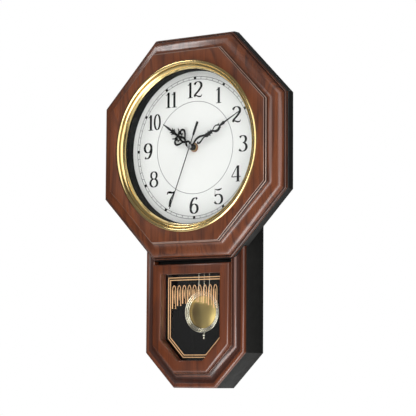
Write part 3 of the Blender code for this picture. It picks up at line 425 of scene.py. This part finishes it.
def glass(name):
    material = bpy.data.materials.new(name)
    material.use_nodes = True
    shader = material.node_tree.nodes["Principled BSDF"]
    shader.inputs["Base Color"].default_value = (0.97, 0.985, 0.98, 1.0)
    shader.inputs["Transmission Weight"].default_value = 1.0
    shader.inputs["IOR"].default_value = 1.45
    shader.inputs["Roughness"].default_value = 0.0
    return material


LOOKS = {
    "walnut": veneer("walnut_veneer", (0.160, 0.046, 0.017), (0.036, 0.009, 0.004), 8.0),
    "sash_walnut": veneer("sash_veneer", (0.135, 0.035, 0.012), (0.036, 0.009, 0.004), 5.0,
                          shift=(0.31, 0.0, 0.12)),
    "cove_shade": veneer("cove_shade", (0.045, 0.012, 0.006), (0.022, 0.006, 0.003), 5.0,
                         shift=(0.31, 0.0, 0.12)),
    # painted shade: near-black veneer laid in the head's grooves and steps, where shade falls
    "groove_shade": veneer("painted_groove_shade", (0.030, 0.010, 0.006), (0.012, 0.004, 0.003), 4.0),
    # painted highlight: pale veneer on thin arris and fillet faces, standing in for the light caught along them
    "painted_arris_highlight": veneer("painted_arris_highlight", (0.34, 0.22, 0.17), (0.20, 0.11, 0.08), 4.0),
    "black_paint": mottled("black_lacquer", (0.019, 0.019, 0.018), 0.25, 90.0, 0.34, 0.46, relief=0.06,
                           Specular_IOR_Level=0.2),
    "panel_black": mottled("black_hardboard", (0.012, 0.012, 0.011), 0.45, 260.0, 0.6, 0.8, relief=0.5,
                           Specular_IOR_Level=0.2),
    "gold": mottled("polished_gold", (0.92, 0.70, 0.32), 0.05, 35.0, 0.10, 0.15, relief=0.0, Metallic=1.0),
    # painted shade: dark gold laid in the valley between the bezel's beads
    "painted_valley_shade": mottled("painted_valley_shade", (0.16, 0.09, 0.025), 0.1, 60.0, 0.4, 0.5, Metallic=0.6),
    "brass": mottled("satin_brass", (0.58, 0.43, 0.16), 0.10, 30.0, 0.32, 0.38, relief=0.03, Metallic=1.0),
    "silver": mottled("pendulum_silver", (0.74, 0.70, 0.58), 0.06, 40.0, 0.20, 0.26, relief=0.0,
                      Metallic=1.0),
    "steel": mottled("zinc_steel", (0.52, 0.52, 0.53), 0.2, 300.0, 0.28, 0.42, relief=0.05, Metallic=1.0),
    # painted shade: a black far darker than the panel's own, for the panel faces inside the case
    "painted_inner_shade": mottled("painted_inner_shade", (0.0022, 0.0022, 0.0021), 0.3, 200.0, 0.7, 0.85, relief=0.1,
                           Specular_IOR_Level=0.1),
    "black_steel": mottled("blackened_steel", (0.03, 0.03, 0.03), 0.2, 300.0, 0.4, 0.55, relief=0.05,
                           Metallic=0.6),
    "black_liner": mottled("black_liner_plastic", (0.008, 0.008, 0.008), 0.3, 400.0, 0.6, 0.75, relief=0.12,
                           Specular_IOR_Level=0.12),
    "dial_white": mottled("dial_white_print", (0.78, 0.775, 0.76), 0.012, 50.0, 0.5, 0.58, relief=0.01,
                          Specular_IOR_Level=0.2),
    "fibre_brown": mottled("brown_rubber", (0.38, 0.18, 0.11), 0.3, 500.0, 0.55, 0.7, relief=0.2),
    "hand_black": mottled("hand_lacquer", (0.004, 0.004, 0.004), 0.3, 200.0, 0.36, 0.46, relief=0.05,
                          Specular_IOR_Level=0.25),
    "ink": mottled("dial_ink", (0.004, 0.004, 0.004), 0.3, 300.0, 0.45, 0.6, relief=0.03,
                   Specular_IOR_Level=0.1),
    "grey_ink": mottled("dial_grey_ink", (0.06, 0.06, 0.06), 0.15, 300.0, 0.45, 0.6, relief=0.03),
    "gilt": mottled("window_gilt", (0.86, 0.52, 0.26), 0.12, 120.0, 0.38, 0.5, relief=0.03),
    "movement": mottled("movement_plastic", (0.018, 0.018, 0.019), 0.3, 700.0, 0.42, 0.55, relief=0.25),
    "nylon": mottled("white_nylon", (0.72, 0.71, 0.66), 0.08, 200.0, 0.38, 0.5, relief=0.05),
    "copper": mottled("enamelled_copper", (0.62, 0.26, 0.12), 0.2, 900.0, 0.25, 0.4, relief=0.4,
                      Metallic=1.0),
    "board_green": mottled("solder_mask", (0.02, 0.14, 0.05), 0.25, 250.0, 0.3, 0.42, relief=0.1),
    "battery": mottled("cell_jacket", (0.10, 0.13, 0.18), 0.12, 150.0, 0.25, 0.35, relief=0.03,
                       Metallic=0.4),
    "plain_wood": veneer("bare_pine", (0.56, 0.39, 0.22), (0.36, 0.22, 0.11), 10.0),
    "glass": glass("clear_glass"),
}


def wear(thing, look, body=CASE):
    """Give a new piece its finish and its body."""
    thing.data.materials.clear()
    thing.data.materials.append(LOOKS[look])
    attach(thing, body)
    return thing


def body_of_node(name):
    return next(body for body, members in BODIES.items() if name in members)


def dress_nodes():
    """Every node of the frame gets the finish of its slot."""
    for part in frame["record"]["subparts"]:
        holder = NODES[part["node"]]
        holder.data.materials.clear()
        holder.data.materials.append(LOOKS[part["material_slot"]])


dress_nodes()


# ---- case and mouldings -------------------------------------------------------------------
def stain(thing, bands):
    """Give bands of a piece a second look: painted shade in grooves and hollows, painted highlight along arrises,
    or a real second finish; a band is (look, low rise, high rise, least, most slope).

    Rise is measured from the piece's back, and slope is 1 where a face lies flat to the room.
    """
    back = max(vertex.co.y for vertex in thing.data.vertices)
    for look, low, high, least, most in bands:
        names = [slot.name for slot in thing.data.materials]
        if LOOKS[look].name not in names:
            thing.data.materials.append(LOOKS[look])
            names.append(LOOKS[look].name)
        index = names.index(LOOKS[look].name)
        for face in thing.data.polygons:
            rise = (back - face.center.y) / MM
            if low <= rise <= high and least <= -face.normal.y <= most:
                face.material_index = index


def make_case():
    for name in ("octagon_frame", "cove_moulding", "sash_frame"):
        look = "walnut" if name == "octagon_frame" else "sash_walnut"
        piece = wear(softened(name, 0.16, 2, 40), look)
        if name == "octagon_frame":
            # Painted shade on the steep faces of the step by the field and in the groove by the outer bead;
            # painted highlight on the fillet and on the field's arris.
            stain(piece, [("groove_shade", 14.9, 20.75, -0.1, 0.6), ("painted_arris_highlight", 17.0, 17.7, 0.8, 1.01),
                          ("painted_arris_highlight", 20.7, 21.15, 0.02, 0.97), ("groove_shade", 2.55, 3.3, -0.1, 1.01)])
        if name == "cove_moulding":
            # Painted highlight on the cove's inner arris; painted shade down the cove's hollow and across its flat
            # bottom.
            stain(piece, [("painted_arris_highlight", 9.3, 9.7, 0.2, 0.97), ("cove_shade", 5.2, 9.2, -0.1, 0.95),
                          ("cove_shade", 3.3, 4.3, 0.9, 1.01)])
    for name in ("octagon_board", "rear_case", "neck_rail"):
        wear(softened(name, 0.35, 2, 40), "black_paint")


# ---- bezel, liner and glass ---------------------------------------------------------------
def make_bezel():
    """Two polished beads with a sharp valley between them, stepping down to the glass; the valley carries painted
    shade.
    """
    flange = FIELD_FACE + 0.3 * MM
    foot = GLASS_FACE + 0.3 * MM
    outer = [(0.02, 0.0), (0.05, 0.4), (0.35, 0.9), (0.8, 1.35), (1.3, 1.75), (1.9, 2.0), (2.5, 2.0),
             (3.1, 1.8), (3.7, 1.4), (4.3, 0.85), (4.8, 0.2), (5.1, -0.4), (5.25, -0.9)]
    inner = [(5.6, -0.75), (5.9, -0.5), (6.3, -0.42), (6.9, -0.6), (7.6, -1.0), (8.3, -1.6), (8.9, -2.3),
             (9.4, -3.1), (9.8, -4.0), (10.1, -5.0)]
    section = [(BEZEL_RADIUS - across * MM, flange + rise * MM) for across, rise in outer + inner]
    section += [(SIGHT_RADIUS + 1.0 * MM, foot + 0.9 * MM), (SIGHT_RADIUS + 0.8 * MM, foot),
                (BEZEL_RADIUS - 5.9 * MM, foot), (BEZEL_RADIUS - 5.9 * MM, flange)]
    bezel = turned("bezel_beads", section, 200)
    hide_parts("bezel_ring")
    wear(bezel, "gold")
    # Painted shade: the valley's faces between the two beads get the dark gold.
    bezel.data.materials.append(LOOKS["painted_valley_shade"])
    for face in bezel.data.polygons:
        across = (BEZEL_RADIUS - math.hypot(face.center.x, face.center.z - DIAL_Z)) / MM
        if 4.7 < across < 5.7 and face.normal.y < 0.3:
            face.material_index = 1

    wall = 1.2 * MM
    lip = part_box("dial_glass")[1].y
    lip_out = -lip - 0.3 * MM
    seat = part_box("recess_liner")[1].x
    section = [(SIGHT_RADIUS, LINER_BACK), (SIGHT_RADIUS, lip_out - 0.4 * MM),
               (SIGHT_RADIUS + 0.4 * MM, lip_out), (seat, lip_out), (seat, lip_out - 1.0 * MM),
               (SIGHT_RADIUS + wall, lip_out - 1.0 * MM), (SIGHT_RADIUS + wall, LINER_BACK)]
    liner = turned("liner_ring", section, 160)
    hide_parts("recess_liner")
    wear(liner, "black_liner")
    for name in ("dial_glass", "window_glass"):
        NODES[name].visible_shadow = False


# ---- dial print ---------------------------------------------------------------------------
PRINT = 0.06 * MM                       # thickness of the ink
PRINT_OUT = DIAL_FACE + 0.05 * MM
NUMERAL_RADIUS = 75.0
TRACK_RADIUS = 90.3
TRACK_HALF = 1.7
THIN, THICK = 0.46, 1.50                # half widths of a numeral's lines
INK_SPREAD = 1.2
WIDEN = {"0": 1.08, "1": 1.3, "4": 1.5, "5": 1.45}      # how much broader than drawn
WIDEN_OTHERS = 1.4
GLYPH_GAP = 0.6
GLYPH_MIDDLE = 10.2                     # half a numeral's height
SQUARE = 3.7 * MM


def ball(x, z, half=1.15):
    return dot(x, z, half)


def digit(number):
    """Strokes of a high-contrast numeral 20.5 mm tall and about 10 mm wide, foot at z = 0."""
    def inked(points, thick=THICK):
        return pen(points, THIN, thick * INK_SPREAD)

    if number == "0":
        return [inked(arc(5.0, 10.25, 4.0, 10.0, 90, 450, 28), 1.2)], 10.0
    if number == "1":
        return [even([(3.4, 0.2), (3.4, 20.2)], 1.75), even([(0.4, 0.2), (6.4, 0.2)], 0.42),
                tapered([(3.2, 19.6), (1.9, 17.4), (0.3, 16.6)], 0.9, 0.4)], 6.8
    if number == "2":
        bowl = arc(5.0, 15.4, 3.9, 4.9, 165, -35, 16)
        slant = curve_through([bowl[-1], (5.8, 8.6), (2.6, 4.6), (1.0, 1.2)])
        return [inked(bowl + slant[1:]), ball(1.6, 15.6),
                swelling(curve_through([(1.0, 1.0), (3.2, 2.2), (6.2, 0.9), (8.6, 1.2), (9.4, 3.6)]),
                         0.25, 0.95)], 10.0
    if number == "3":
        upper = arc(4.6, 15.6, 3.5, 4.6, 150, -85, 16)
        lower = arc(4.5, 5.7, 4.2, 5.4, 88, -150, 18)
        return [inked(upper), inked(lower), ball(1.7, 16.6), ball(1.3, 4.0)], 9.6
    if number == "4":
        return [even([(6.9, 0.2), (6.9, 20.2)], 1.85), even([(6.4, 20.2), (0.4, 6.2)], 0.6),
                even([(0.4, 6.0), (9.6, 6.0)], 0.6), even([(4.6, 0.2), (9.0, 0.2)], 0.42)], 10.2
    if number == "5":
        bowl = arc(4.6, 6.5, 4.3, 6.2, 140, -150, 20)
        return [inked(bowl), even([(1.4, 20.0), (1.2, 10.2)], 0.3), ball(1.2, 4.2),
                swelling(curve_through([(1.4, 19.2), (4.4, 18.4), (7.0, 19.0), (8.6, 20.4)]), 0.3, 1.0)], 9.6
    if number == "6":
        arm = curve_through([(8.2, 18.2), (6.6, 20.1), (3.6, 18.4), (1.4, 12.6), (1.0, 7.4)])
        return [inked(arm), inked(arc(4.9, 6.2, 3.9, 6.0, 180, 540, 26)), ball(8.0, 17.6, 1.05)], 10.0
    if number == "7":
        return [swelling(curve_through([(0.8, 16.4), (1.6, 19.0), (4.2, 19.2), (6.6, 18.6), (9.2, 20.2)]),
                         0.4, 1.5),
                tapered(curve_through([(9.2, 20.0), (6.6, 14.0), (4.4, 8.0), (3.8, 0.4)]), 0.5, 2.1)], 9.6
    if number == "8":
        return [inked(arc(4.9, 15.4, 3.3, 4.8, 90, 450, 24), 1.25),
                inked(arc(4.9, 5.5, 4.0, 5.3, 90, 450, 26), 1.4)], 9.8
    arm = curve_through([(1.8, 2.3), (3.4, 0.4), (6.4, 2.1), (8.6, 7.9), (9.0, 13.1)])
    return [inked(arm), inked(arc(5.1, 14.3, 3.9, 6.0, 0, 360, 26)), ball(2.0, 2.9, 1.05)], 10.0


def make_dial_print():
    lines = []
    for hour in range(1, 13):
        angle = math.radians(30 * hour)
        glyphs = []
        for figure in str(hour):
            drawn, width = digit(figure)
            broad = WIDEN.get(figure, WIDEN_OTHERS)
            glyphs.append(([[(x * broad, z, half) for x, z, half in line] for line in drawn], width * broad))
        total = sum(width for drawn, width in glyphs) + GLYPH_GAP * (len(glyphs) - 1)
        x = NUMERAL_RADIUS * math.sin(angle) - total / 2
        z = NUMERAL_RADIUS * math.cos(angle) - GLYPH_MIDDLE
        for drawn, width in glyphs:
            lines += moved(drawn, x, z)
            x += width + GLYPH_GAP
    numerals = strokes("dial_numerals", lines, PRINT, (0.0, DIAL_Z), PRINT_OUT, sides=2)
    wear(numerals, "ink")

    def ring(name, radius, half, look):
        low, high = PRINT_OUT - PRINT / 2, PRINT_OUT + PRINT / 2
        section = [((radius - half) * MM, low), ((radius + half) * MM, low),
                   ((radius + half) * MM, high), ((radius - half) * MM, high)]
        wear(turned(name, section, 180, faceted=True), look)

    ring("dial_inner_circle", 59.8, 0.3, "grey_ink")
    ring("minute_track_outer", TRACK_RADIUS + TRACK_HALF, 0.28, "grey_ink")
    ring("minute_track_inner", TRACK_RADIUS - TRACK_HALF, 0.28, "grey_ink")
    ticks = []
    for minute in range(60):
        if minute % 5:
            angle = math.radians(6 * minute)
            ticks.append([(r * math.sin(angle), r * math.cos(angle), 0.36)
                          for r in (TRACK_RADIUS - TRACK_HALF, TRACK_RADIUS + TRACK_HALF)])
    wear(strokes("minute_ticks", ticks, PRINT, (0.0, DIAL_Z), PRINT_OUT, sides=1), "grey_ink")

    deselect()
    marks = []
    for hour in range(12):
        angle = math.radians(30 * hour)
        bpy.ops.mesh.primitive_cube_add(size=1.0, location=(TRACK_RADIUS * MM * math.sin(angle),
                                                            -PRINT_OUT,
                                                            DIAL_Z + TRACK_RADIUS * MM * math.cos(angle)),
                                        rotation=(0.0, angle, 0.0), scale=(SQUARE, 1.3 * PRINT, SQUARE))
        marks.append(bpy.context.object)
    deselect()
    for mark in marks:
        mark.select_set(True)
    bpy.context.view_layer.objects.active = marks[0]
    bpy.ops.object.join()
    squares = settle(bpy.context.object, "five_minute_squares")
    apply_modifier(squares, "BEVEL", width=0.02 * MM, segments=1)
    wear(squares, "ink")


# ---- hands --------------------------------------------------------------------------------
HOUR_ANGLE = math.radians(305.1)
MINUTE_ANGLE = math.radians(61.5)
SECOND_ANGLE = math.radians(201.6)
HAND_THICK = 0.5 * MM
HAND_BOLD = 1.45


def both_sides(line):
    return [line, [(-x, z, half) for x, z, half in line]]


def hour_lines():
    lines = [[(0, 27, 0.9), (0, 33, 1.2), (0, 38, 1.9), (0, 41.5, 0.9), (0, 45.5, 1.15), (0, 57.5, 0.3)]]
    stem = [(0, 4), (2.9, 8.5), (0.4, 12.5), (-2.4, 17.0), (-1.6, 22), (0, 28)]
    lines += both_sides(swelling(curve_through(stem), 0.85, 1.1))
    scroll = [(1.0, 15.5), (4.4, 17.6), (8.4, 20.4), (10.8, 23.6), (10.0, 27.0), (7.0, 28.0), (4.7, 25.8),
              (5.8, 22.8)]
    lines += both_sides(swelling(curve_through(scroll), 0.6, 1.05))
    for first, last in (((3.4, 26.0), (8.2, 34.0)), ((0.6, 20.5), (4.6, 24.0)), ((0.6, 28.0), (5.0, 30.4)),
                        ((0.4, 35.0), (4.4, 38.6)), ((0.4, 37.0), (3.4, 42.0))):
        lines += both_sides([(*first, 1.1), (*last, 0.35)])
    lines += both_sides(dot(6.6, 23.2, 1.2))
    return lines


def minute_lines():
    stem = [(0, 3), (-2.6, 7.5), (-4.3, 12.2), (-4.2, 17.8), (-2.3, 23.2), (-0.3, 28.5)]
    hook = [(-0.3, 28), (0.4, 21.5), (2.0, 17.0), (2.9, 13.6), (1.6, 11.2), (-0.4, 12.0)]
    lines = [[(0, 50, 0.8), (0, 54, 1.2), (0, 57, 1.55), (0, 60, 0.75), (0, 87.2, 0.3)],
             swelling(curve_through(stem), 0.85, 1.1),
             swelling(curve_through(hook), 0.6, 0.85),
             dot(1.2, 12.6, 1.6),
             [(0, 25, 0.9), (0, 31, 1.9), (0, 36, 1.3), (0, 39.5, 0.8)]]
    for z, reach in ((26.0, 3.4), (30.0, 4.0), (34.0, 3.0)):
        lines += both_sides([(0.5, z, 1.0), (reach, z + 2.8, 0.3)])
    right_bow = [(0, 38.5), (3.0, 42.0), (3.6, 46.0), (1.8, 49.4), (0, 52)]
    left_bow = [(0, 38.5), (-2.8, 42.0), (-3.3, 46.0), (-1.4, 49.4), (0, 52)]
    lines.append(swelling(curve_through(right_bow), 0.7, 1.35))
    lines.append(swelling(curve_through(left_bow), 0.5, 0.6))
    lines += both_sides([(2.0, 48.0, 0.9), (3.2, 51.6, 0.3)])
    lines += both_sides([(0.2, 55.5, 0.8), (2.4, 58.0, 0.3)])
    return lines


def second_lines():
    return [[(0, -33.8, 1.3), (0, -17, 1.2), (0, -14.5, 0.55), (0, 0, 0.55), (0, 84.5, 0.4)]]


def make_hand(node_name, lines, angle, bore, boss, boss_range, blade_shift):
    """Flat scrolled blade with a turned boss, as deep as the frame's own hand."""
    back = -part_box(node_name)[1].y
    bold = [[(x, z, half * HAND_BOLD) for x, z, half in line] for line in lines]
    blade = strokes(node_name + "_scrolled", bold, HAND_THICK, (0.0, DIAL_Z), back + blade_shift, angle, 3)
    low, high = back, back + boss_range
    hub = turned(node_name + "_boss", [(bore, low), (boss - 0.3 * MM, low), (boss, low + 0.3 * MM),
                                       (boss, high - 0.4 * MM), (boss - 0.4 * MM, high), (bore, high)], 48)
    work_on(hub)
    blade.select_set(True)
    bpy.context.view_layer.objects.active = blade
    bpy.ops.object.join()
    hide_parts(node_name)
    wear(blade, "hand_black", body=body_of_node(node_name))


def make_hands():
    make_hand("hour_hand", hour_lines(), HOUR_ANGLE, 2.9 * MM, 4.3 * MM, 2.0 * MM, 1.35 * MM)
    make_hand("minute_hand", minute_lines(), MINUTE_ANGLE, 2.0 * MM, 3.7 * MM, 2.0 * MM, 1.35 * MM)
    make_hand("second_hand", second_lines(), SECOND_ANGLE, 1.0 * MM, 3.0 * MM, 1.6 * MM, 1.25 * MM)
    low, high = -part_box("hand_cap")[1].y, -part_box("hand_cap")[0].y
    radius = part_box("hand_cap")[1].x
    section = [(radius - 0.2 * MM, low), (radius, low + 0.15 * MM)]
    rise = high - low - 0.3 * MM
    for i in range(9):
        angle = math.radians(80 * i / 8)
        section.append((radius * math.cos(angle) - 0.001 * MM, low + 0.3 * MM + rise * math.sin(angle)))
    cap = turned("second_cap", section, 48, closed=False)
    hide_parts("hand_cap")
    wear(cap, "steel", body=body_of_node("hand_cap"))
    stain(wear(softened("dial_plate", 0.0), "dial_white"), [("steel", -1.0, 5.0, -1.01, -0.5)])
    washer = softened("dial_washer", 0.15, 2, 40)
    wear(washer, "fibre_brown")
    wear(softened("centre_nut", 0.2, 2, 40), "brass")


# ---- pendulum -----------------------------------------------------------------------------
def make_pendulum():
    low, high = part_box("bob_ring")
    bob = ((low.x + high.x) / 2, (low.z + high.z) / 2)
    back = -high.y
    rim = high.x
    section = [(rim, back + 0.6 * MM), (rim, back + 3.4 * MM)]
    beads = 3
    step = 2.05 * MM
    bead = 1.02 * MM
    for k in range(beads):
        centre_r = rim - bead - k * step
        centre_out = back + (3.6 - 0.8 * k) * MM
        for i in range(9):
            angle = math.radians(5 + 165 * i / 8)
            section.append((centre_r + bead * math.cos(angle), centre_out + bead * math.sin(angle)))
    dome_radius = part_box("bob_dome")[1].x
    section += [(dome_radius + 0.35 * MM, back + 1.3 * MM), (dome_radius + 0.35 * MM, back)]
    ring = turned("bob_ridged_ring", section, 120, bob)
    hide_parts("bob_ring")
    wear(ring, "silver", body="pendulum")

    low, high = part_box("bob_dome")
    back, front = -high.y, -low.y
    rise = front - back - 0.8 * MM
    ball_radius = (dome_radius ** 2 + rise ** 2) / (2 * rise)
    sweep = math.asin(dome_radius / ball_radius)
    section = [(dome_radius - 0.3 * MM, back), (dome_radius, back + 0.3 * MM)]
    for i in range(20):
        angle = sweep * (1 - i / 20)
        section.append((ball_radius * math.sin(angle),
                        back + 0.8 * MM + ball_radius * (math.cos(angle) - math.cos(sweep))))
    section.append((0.15 * MM, front - 0.0005 * MM))
    dome = turned("bob_brass_dome", section, 120, bob, closed=False)
    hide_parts("bob_dome")
    wear(dome, "brass", body="pendulum")
    for label in ("left", "centre", "right"):
        wear(softened("pendulum_rod_" + label, 0.0), "silver", body="pendulum")
    wear(softened("rating_nut", 0.12, 2, 20), "silver", body="pendulum")
    wear(softened("rod_finial", 0.0), "silver", body="pendulum")
    wear(softened("rod_bridge", 0.3, 2), "steel", body="pendulum")
    wear(softened("pendulum_lever", 0.25, 2), "nylon", body="pendulum")


# ---- printed window -----------------------------------------------------------------------
WINDOW_HALF_WIDTH = 46.4 * MM
WINDOW_FOOT_EDGE = 20.2 * MM
WINDOW_TOP = DIAL_Z - 162.5 * MM
WINDOW_SHOULDER = DIAL_Z - 246.1 * MM
WINDOW_BOTTOM = DIAL_Z - 273.0 * MM
LINE_OUT = WINDOW_FACE + 0.02 * MM
LANCETS = 9
LANCET_PITCH = 8.1
LANCET_START = -33.4
LANCET_TOP = -176.8
LANCET_FOOT = -206.0
LANCET_BOW = 8.5                        # how far the foot line rises in the middle


def window_line(name, distance, width):
    """A printed line that follows the window at a distance in from its edge."""
    deselect()
    middle = (0.0, -LINE_OUT, (WINDOW_TOP + WINDOW_BOTTOM) / 2)
    bpy.ops.mesh.primitive_plane_add(size=2 * WINDOW_HALF_WIDTH, rotation=(math.pi / 2, 0.0, 0.0),
                                     location=middle)
    line = settle(bpy.context.object, name)
    bpy.ops.object.mode_set(mode="EDIT")
    stretch = (WINDOW_TOP - WINDOW_BOTTOM) / (2 * WINDOW_HALF_WIDTH)
    bpy.ops.transform.resize(value=(1.0, 1.0, stretch), center_override=middle)
    for side in (1, -1):
        bpy.ops.mesh.select_all(action="SELECT")
        bpy.ops.mesh.bisect(plane_co=(side * WINDOW_HALF_WIDTH, -LINE_OUT, WINDOW_SHOULDER),
                            plane_no=(side * (WINDOW_SHOULDER - WINDOW_BOTTOM), 0.0,
                                      WINDOW_FOOT_EDGE - WINDOW_HALF_WIDTH), clear_outer=True)
    bpy.ops.mesh.select_mode(type="FACE")
    bpy.ops.mesh.select_all(action="SELECT")
    bpy.ops.mesh.inset(thickness=distance)
    bpy.ops.mesh.select_all(action="INVERT")
    bpy.ops.mesh.delete(type="FACE")
    bpy.ops.mesh.select_all(action="SELECT")
    bpy.ops.mesh.inset(thickness=width)
    bpy.ops.mesh.delete(type="FACE")
    bpy.ops.mesh.select_all(action="SELECT")
    bpy.ops.mesh.normals_make_consistent(inside=False)
    bpy.ops.object.mode_set(mode="OBJECT")
    apply_modifier(line, "SOLIDIFY", thickness=PRINT, offset=0.0)
    wear(line, "gilt")


def make_window_print():
    """Gilt border and a row of lancets with a bowed foot line."""
    window_line("gilt_line_outer", 3.7 * MM, 1.15 * MM)
    window_line("gilt_line_inner", 6.7 * MM, 1.1 * MM)
    lines = []
    top = LANCET_TOP
    for i in range(LANCETS):
        x = LANCET_START + LANCET_PITCH * i
        share = 2 * i / (LANCETS - 1) - 1
        foot = LANCET_FOOT + LANCET_BOW * (1 - share * share)
        arch = arc(x, top - 7.0, 2.5, 7.0, 0, 180, 12)
        lines.append(even([(x + 2.5, foot), *arch, (x - 2.5, foot)], 0.42))
        lines.append(even([(x - 2.5, foot + 0.4), (x - 2.5, top - 6.0)], 0.72))
        lines.append(swelling([(x + 0.1, foot + 6.0), (x + 0.1, (foot + top) / 2),
                               (x + 0.1, top - 5.0)], 0.15, 0.6))
        lines.append(dot(x + 0.1, foot + 3.2, 0.75))
        lines.append(even([(x - 3.5, foot), (x - 1.5, foot)], 0.35))
        lines.append(even([(x + 1.5, foot), (x + 3.5, foot)], 0.35))
    reeds = strokes("gilt_lancets", lines, PRINT, (0.0, DIAL_Z), WINDOW_FACE + 0.05 * MM, sides=2)
    wear(reeds, "gilt")


# ---- back and movement --------------------------------------------------------------------
def crossed_screw(node_name, facing):
    """Domed screw head with a cross recess, on the side it faces (+1 towards the wall)."""
    low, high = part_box(node_name)
    thing = softened(node_name, 0.18, 2, 40, node_name + "_crossed")
    centre = ((low.x + high.x) / 2, (low.z + high.z) / 2)
    face = high.y if facing > 0 else low.y
    reach = (high.x - low.x) * 0.3
    for turn in (0.0, math.pi / 2):
        deselect()
        bpy.ops.mesh.primitive_cube_add(size=1.0, location=(centre[0], face, centre[1]),
                                        rotation=(0.0, turn, 0.0), scale=(2 * reach, 1.6 * MM, 0.7 * MM))
        cutter = bpy.context.object
        apply_modifier(thing, "BOOLEAN", object=cutter, operation="DIFFERENCE", solver="EXACT")
        bpy.data.objects.remove(cutter, do_unlink=True)
    smooth(thing, 32)
    return thing


def make_back():
    # The back panel's room-facing faces, inside the case, get a darker black as painted shade.
    stain(wear(softened("back_panel", 0.2, 2, 40), "panel_black"), [("painted_inner_shade", 0.0, 10.0, 0.9, 1.01)])
    wear(softened("hanger_plate", 0.2, 2, 40), "steel")
    for place in ("upper_left", "upper_right", "lower_left", "lower_right"):
        wear(crossed_screw("panel_screw_" + place, 1), "steel")
        wear(crossed_screw("clip_screw_" + place, 1), "black_steel")
        wear(softened("glass_clip_" + place, 0.15, 2, 40), "black_steel")
        wear(softened("corner_block_" + place, 0.3, 2, 40), "plain_wood")
    for side in ("left", "right"):
        wear(crossed_screw("hanger_screw_" + side, -1), "steel")
    for name in ("movement_case", "movement_cover", "pendulum_drive"):
        wear(softened(name, 0.4, 3, 40), "movement")
    wear(softened("setting_knob", 0.2, 2, 40), "nylon", body=body_of_node("setting_knob"))
    wear(softened("battery", 0.4, 3, 40), "battery")


# ---- stage --------------------------------------------------------------------------------
FLOOR_DROP = 1.3                        # the clock hangs at eye height
FLOOR_SIZE = 12.0
FLOOR_GLOW = 0.84                       # what the camera sees of the floor, whatever lights it


def make_stage():
    floor_z = cad_box[0][2] - FLOOR_DROP
    deselect()
    bpy.ops.mesh.primitive_plane_add(size=FLOOR_SIZE, location=(0.0, 0.0, floor_z))
    floor = bpy.context.object
    floor.name = "floor"
    material = mottled("pale_floor", (0.93, 0.93, 0.92), 0.02, 3.0, 0.6, 0.7, relief=0.01)
    tree = material.node_tree
    seen = node(tree, "LightPath").outputs["Is Camera Ray"]
    shader = tree.nodes["Principled BSDF"]
    tree.links.new(mix(tree, seen, grey(0.0), grey(FLOOR_GLOW)), shader.inputs["Emission Color"])
    shader.inputs["Emission Strength"].default_value = 1.0
    floor.data.materials.append(material)

    world = bpy.data.worlds.new("studio")
    bpy.context.scene.world = world
    world.use_nodes = True
    tree = world.node_tree
    tree.nodes.clear()
    direction = node(tree, "TexCoord").outputs["Generated"]
    height = node(tree, "SeparateXYZ", {0: direction}).outputs["Z"]
    sky = ramp(tree, math_node(tree, "ADD", math_node(tree, "MULTIPLY", height, 0.5), 0.5),
               [(0.0, grey(0.10)), (0.45, grey(0.035)), (0.6, grey(0.035)), (1.0, grey(0.22))])
    soft = node(tree, "Background", {"Color": sky, "Strength": 0.9}).outputs[0]
    white = node(tree, "Background", {"Color": (1.0, 1.0, 1.0, 1.0), "Strength": 1.0}).outputs[0]
    seen = node(tree, "LightPath").outputs["Is Camera Ray"]
    both = node(tree, "MixShader", {0: seen, 1: soft, 2: white}).outputs[0]
    tree.links.new(both, node(tree, "OutputWorld").inputs["Surface"])


def softbox(name, place, aim, size, power, spin=0.0, gloss=True):
    """Rectangular soft light; with gloss off it lights surfaces but shows in no reflection."""
    light = bpy.data.lights.new(name, "AREA")
    light.shape = "RECTANGLE"
    light.size, light.size_y = size
    light.energy = power
    holder = bpy.data.objects.new(name, light)
    holder.location = place
    look = (Vector(aim) - Vector(place)).to_track_quat("-Z", "Y")
    holder.rotation_euler = (look @ Quaternion((0.0, 0.0, 1.0), spin)).to_euler()
    holder.visible_glossy = gloss
    holder.visible_camera = False
    bpy.context.scene.collection.objects.link(holder)
    return holder


def make_lights():
    middle = (0.0, -0.04, -0.12)
    softbox("front_fill", (1.0, -1.75, 1.1), middle, (1.4, 1.2), 15.5, gloss=False)
    softbox("right_box", (1.23, -1.62, 0.2), middle, (2.5, 2.2), 27.0)
    softbox("low_right_box", (0.35, -0.88, -1.18), middle, (0.8, 1.9), 20.0)
    softbox("upper_left_box", (-0.9, -0.98, 0.72), middle, (0.35, 0.35), 3.5)
    softbox("grey_card", (-0.89, -1.9, 0.1), middle, (0.75, 1.9), 0.9, spin=math.radians(-9))
    softbox("back_fill", (-0.7, 2.0, 0.7), middle, (1.6, 1.6), 70.0, gloss=False)


SENSOR = 36.0                           # mm
LENS = 155.76923                        # mm
CAMERA_YAW, CAMERA_PITCH, CAMERA_ROLL = 35.27, -5.46, 0.35      # degrees
CAMERA_TARGET = (23.92, -47.7, -147.59)                         # mm
CAMERA_DISTANCE = 2289.37                                       # mm


def make_camera():
    yaw, pitch, roll = (math.radians(turn) for turn in (CAMERA_YAW, CAMERA_PITCH, CAMERA_ROLL))
    away = Vector((math.sin(yaw) * math.cos(pitch), -math.cos(yaw) * math.cos(pitch), math.sin(pitch)))
    camera = bpy.data.cameras.new("camera")
    camera.lens = LENS
    camera.sensor_width = SENSOR
    camera.clip_start = 0.05
    holder = bpy.data.objects.new("camera", camera)
    holder.location = Vector(CAMERA_TARGET) * MM + away * CAMERA_DISTANCE * MM
    turn = (-away).to_track_quat("-Z", "Y")
    holder.rotation_euler = (turn @ Quaternion((0.0, 0.0, 1.0), roll)).to_euler()
    bpy.context.scene.collection.objects.link(holder)
    bpy.context.scene.camera = holder
    bpy.context.scene.view_settings.view_transform = "Standard"


make_case()
make_bezel()
make_dial_print()
make_hands()
make_pendulum()
make_window_print()
make_back()
make_stage()
make_lights()
make_camera()
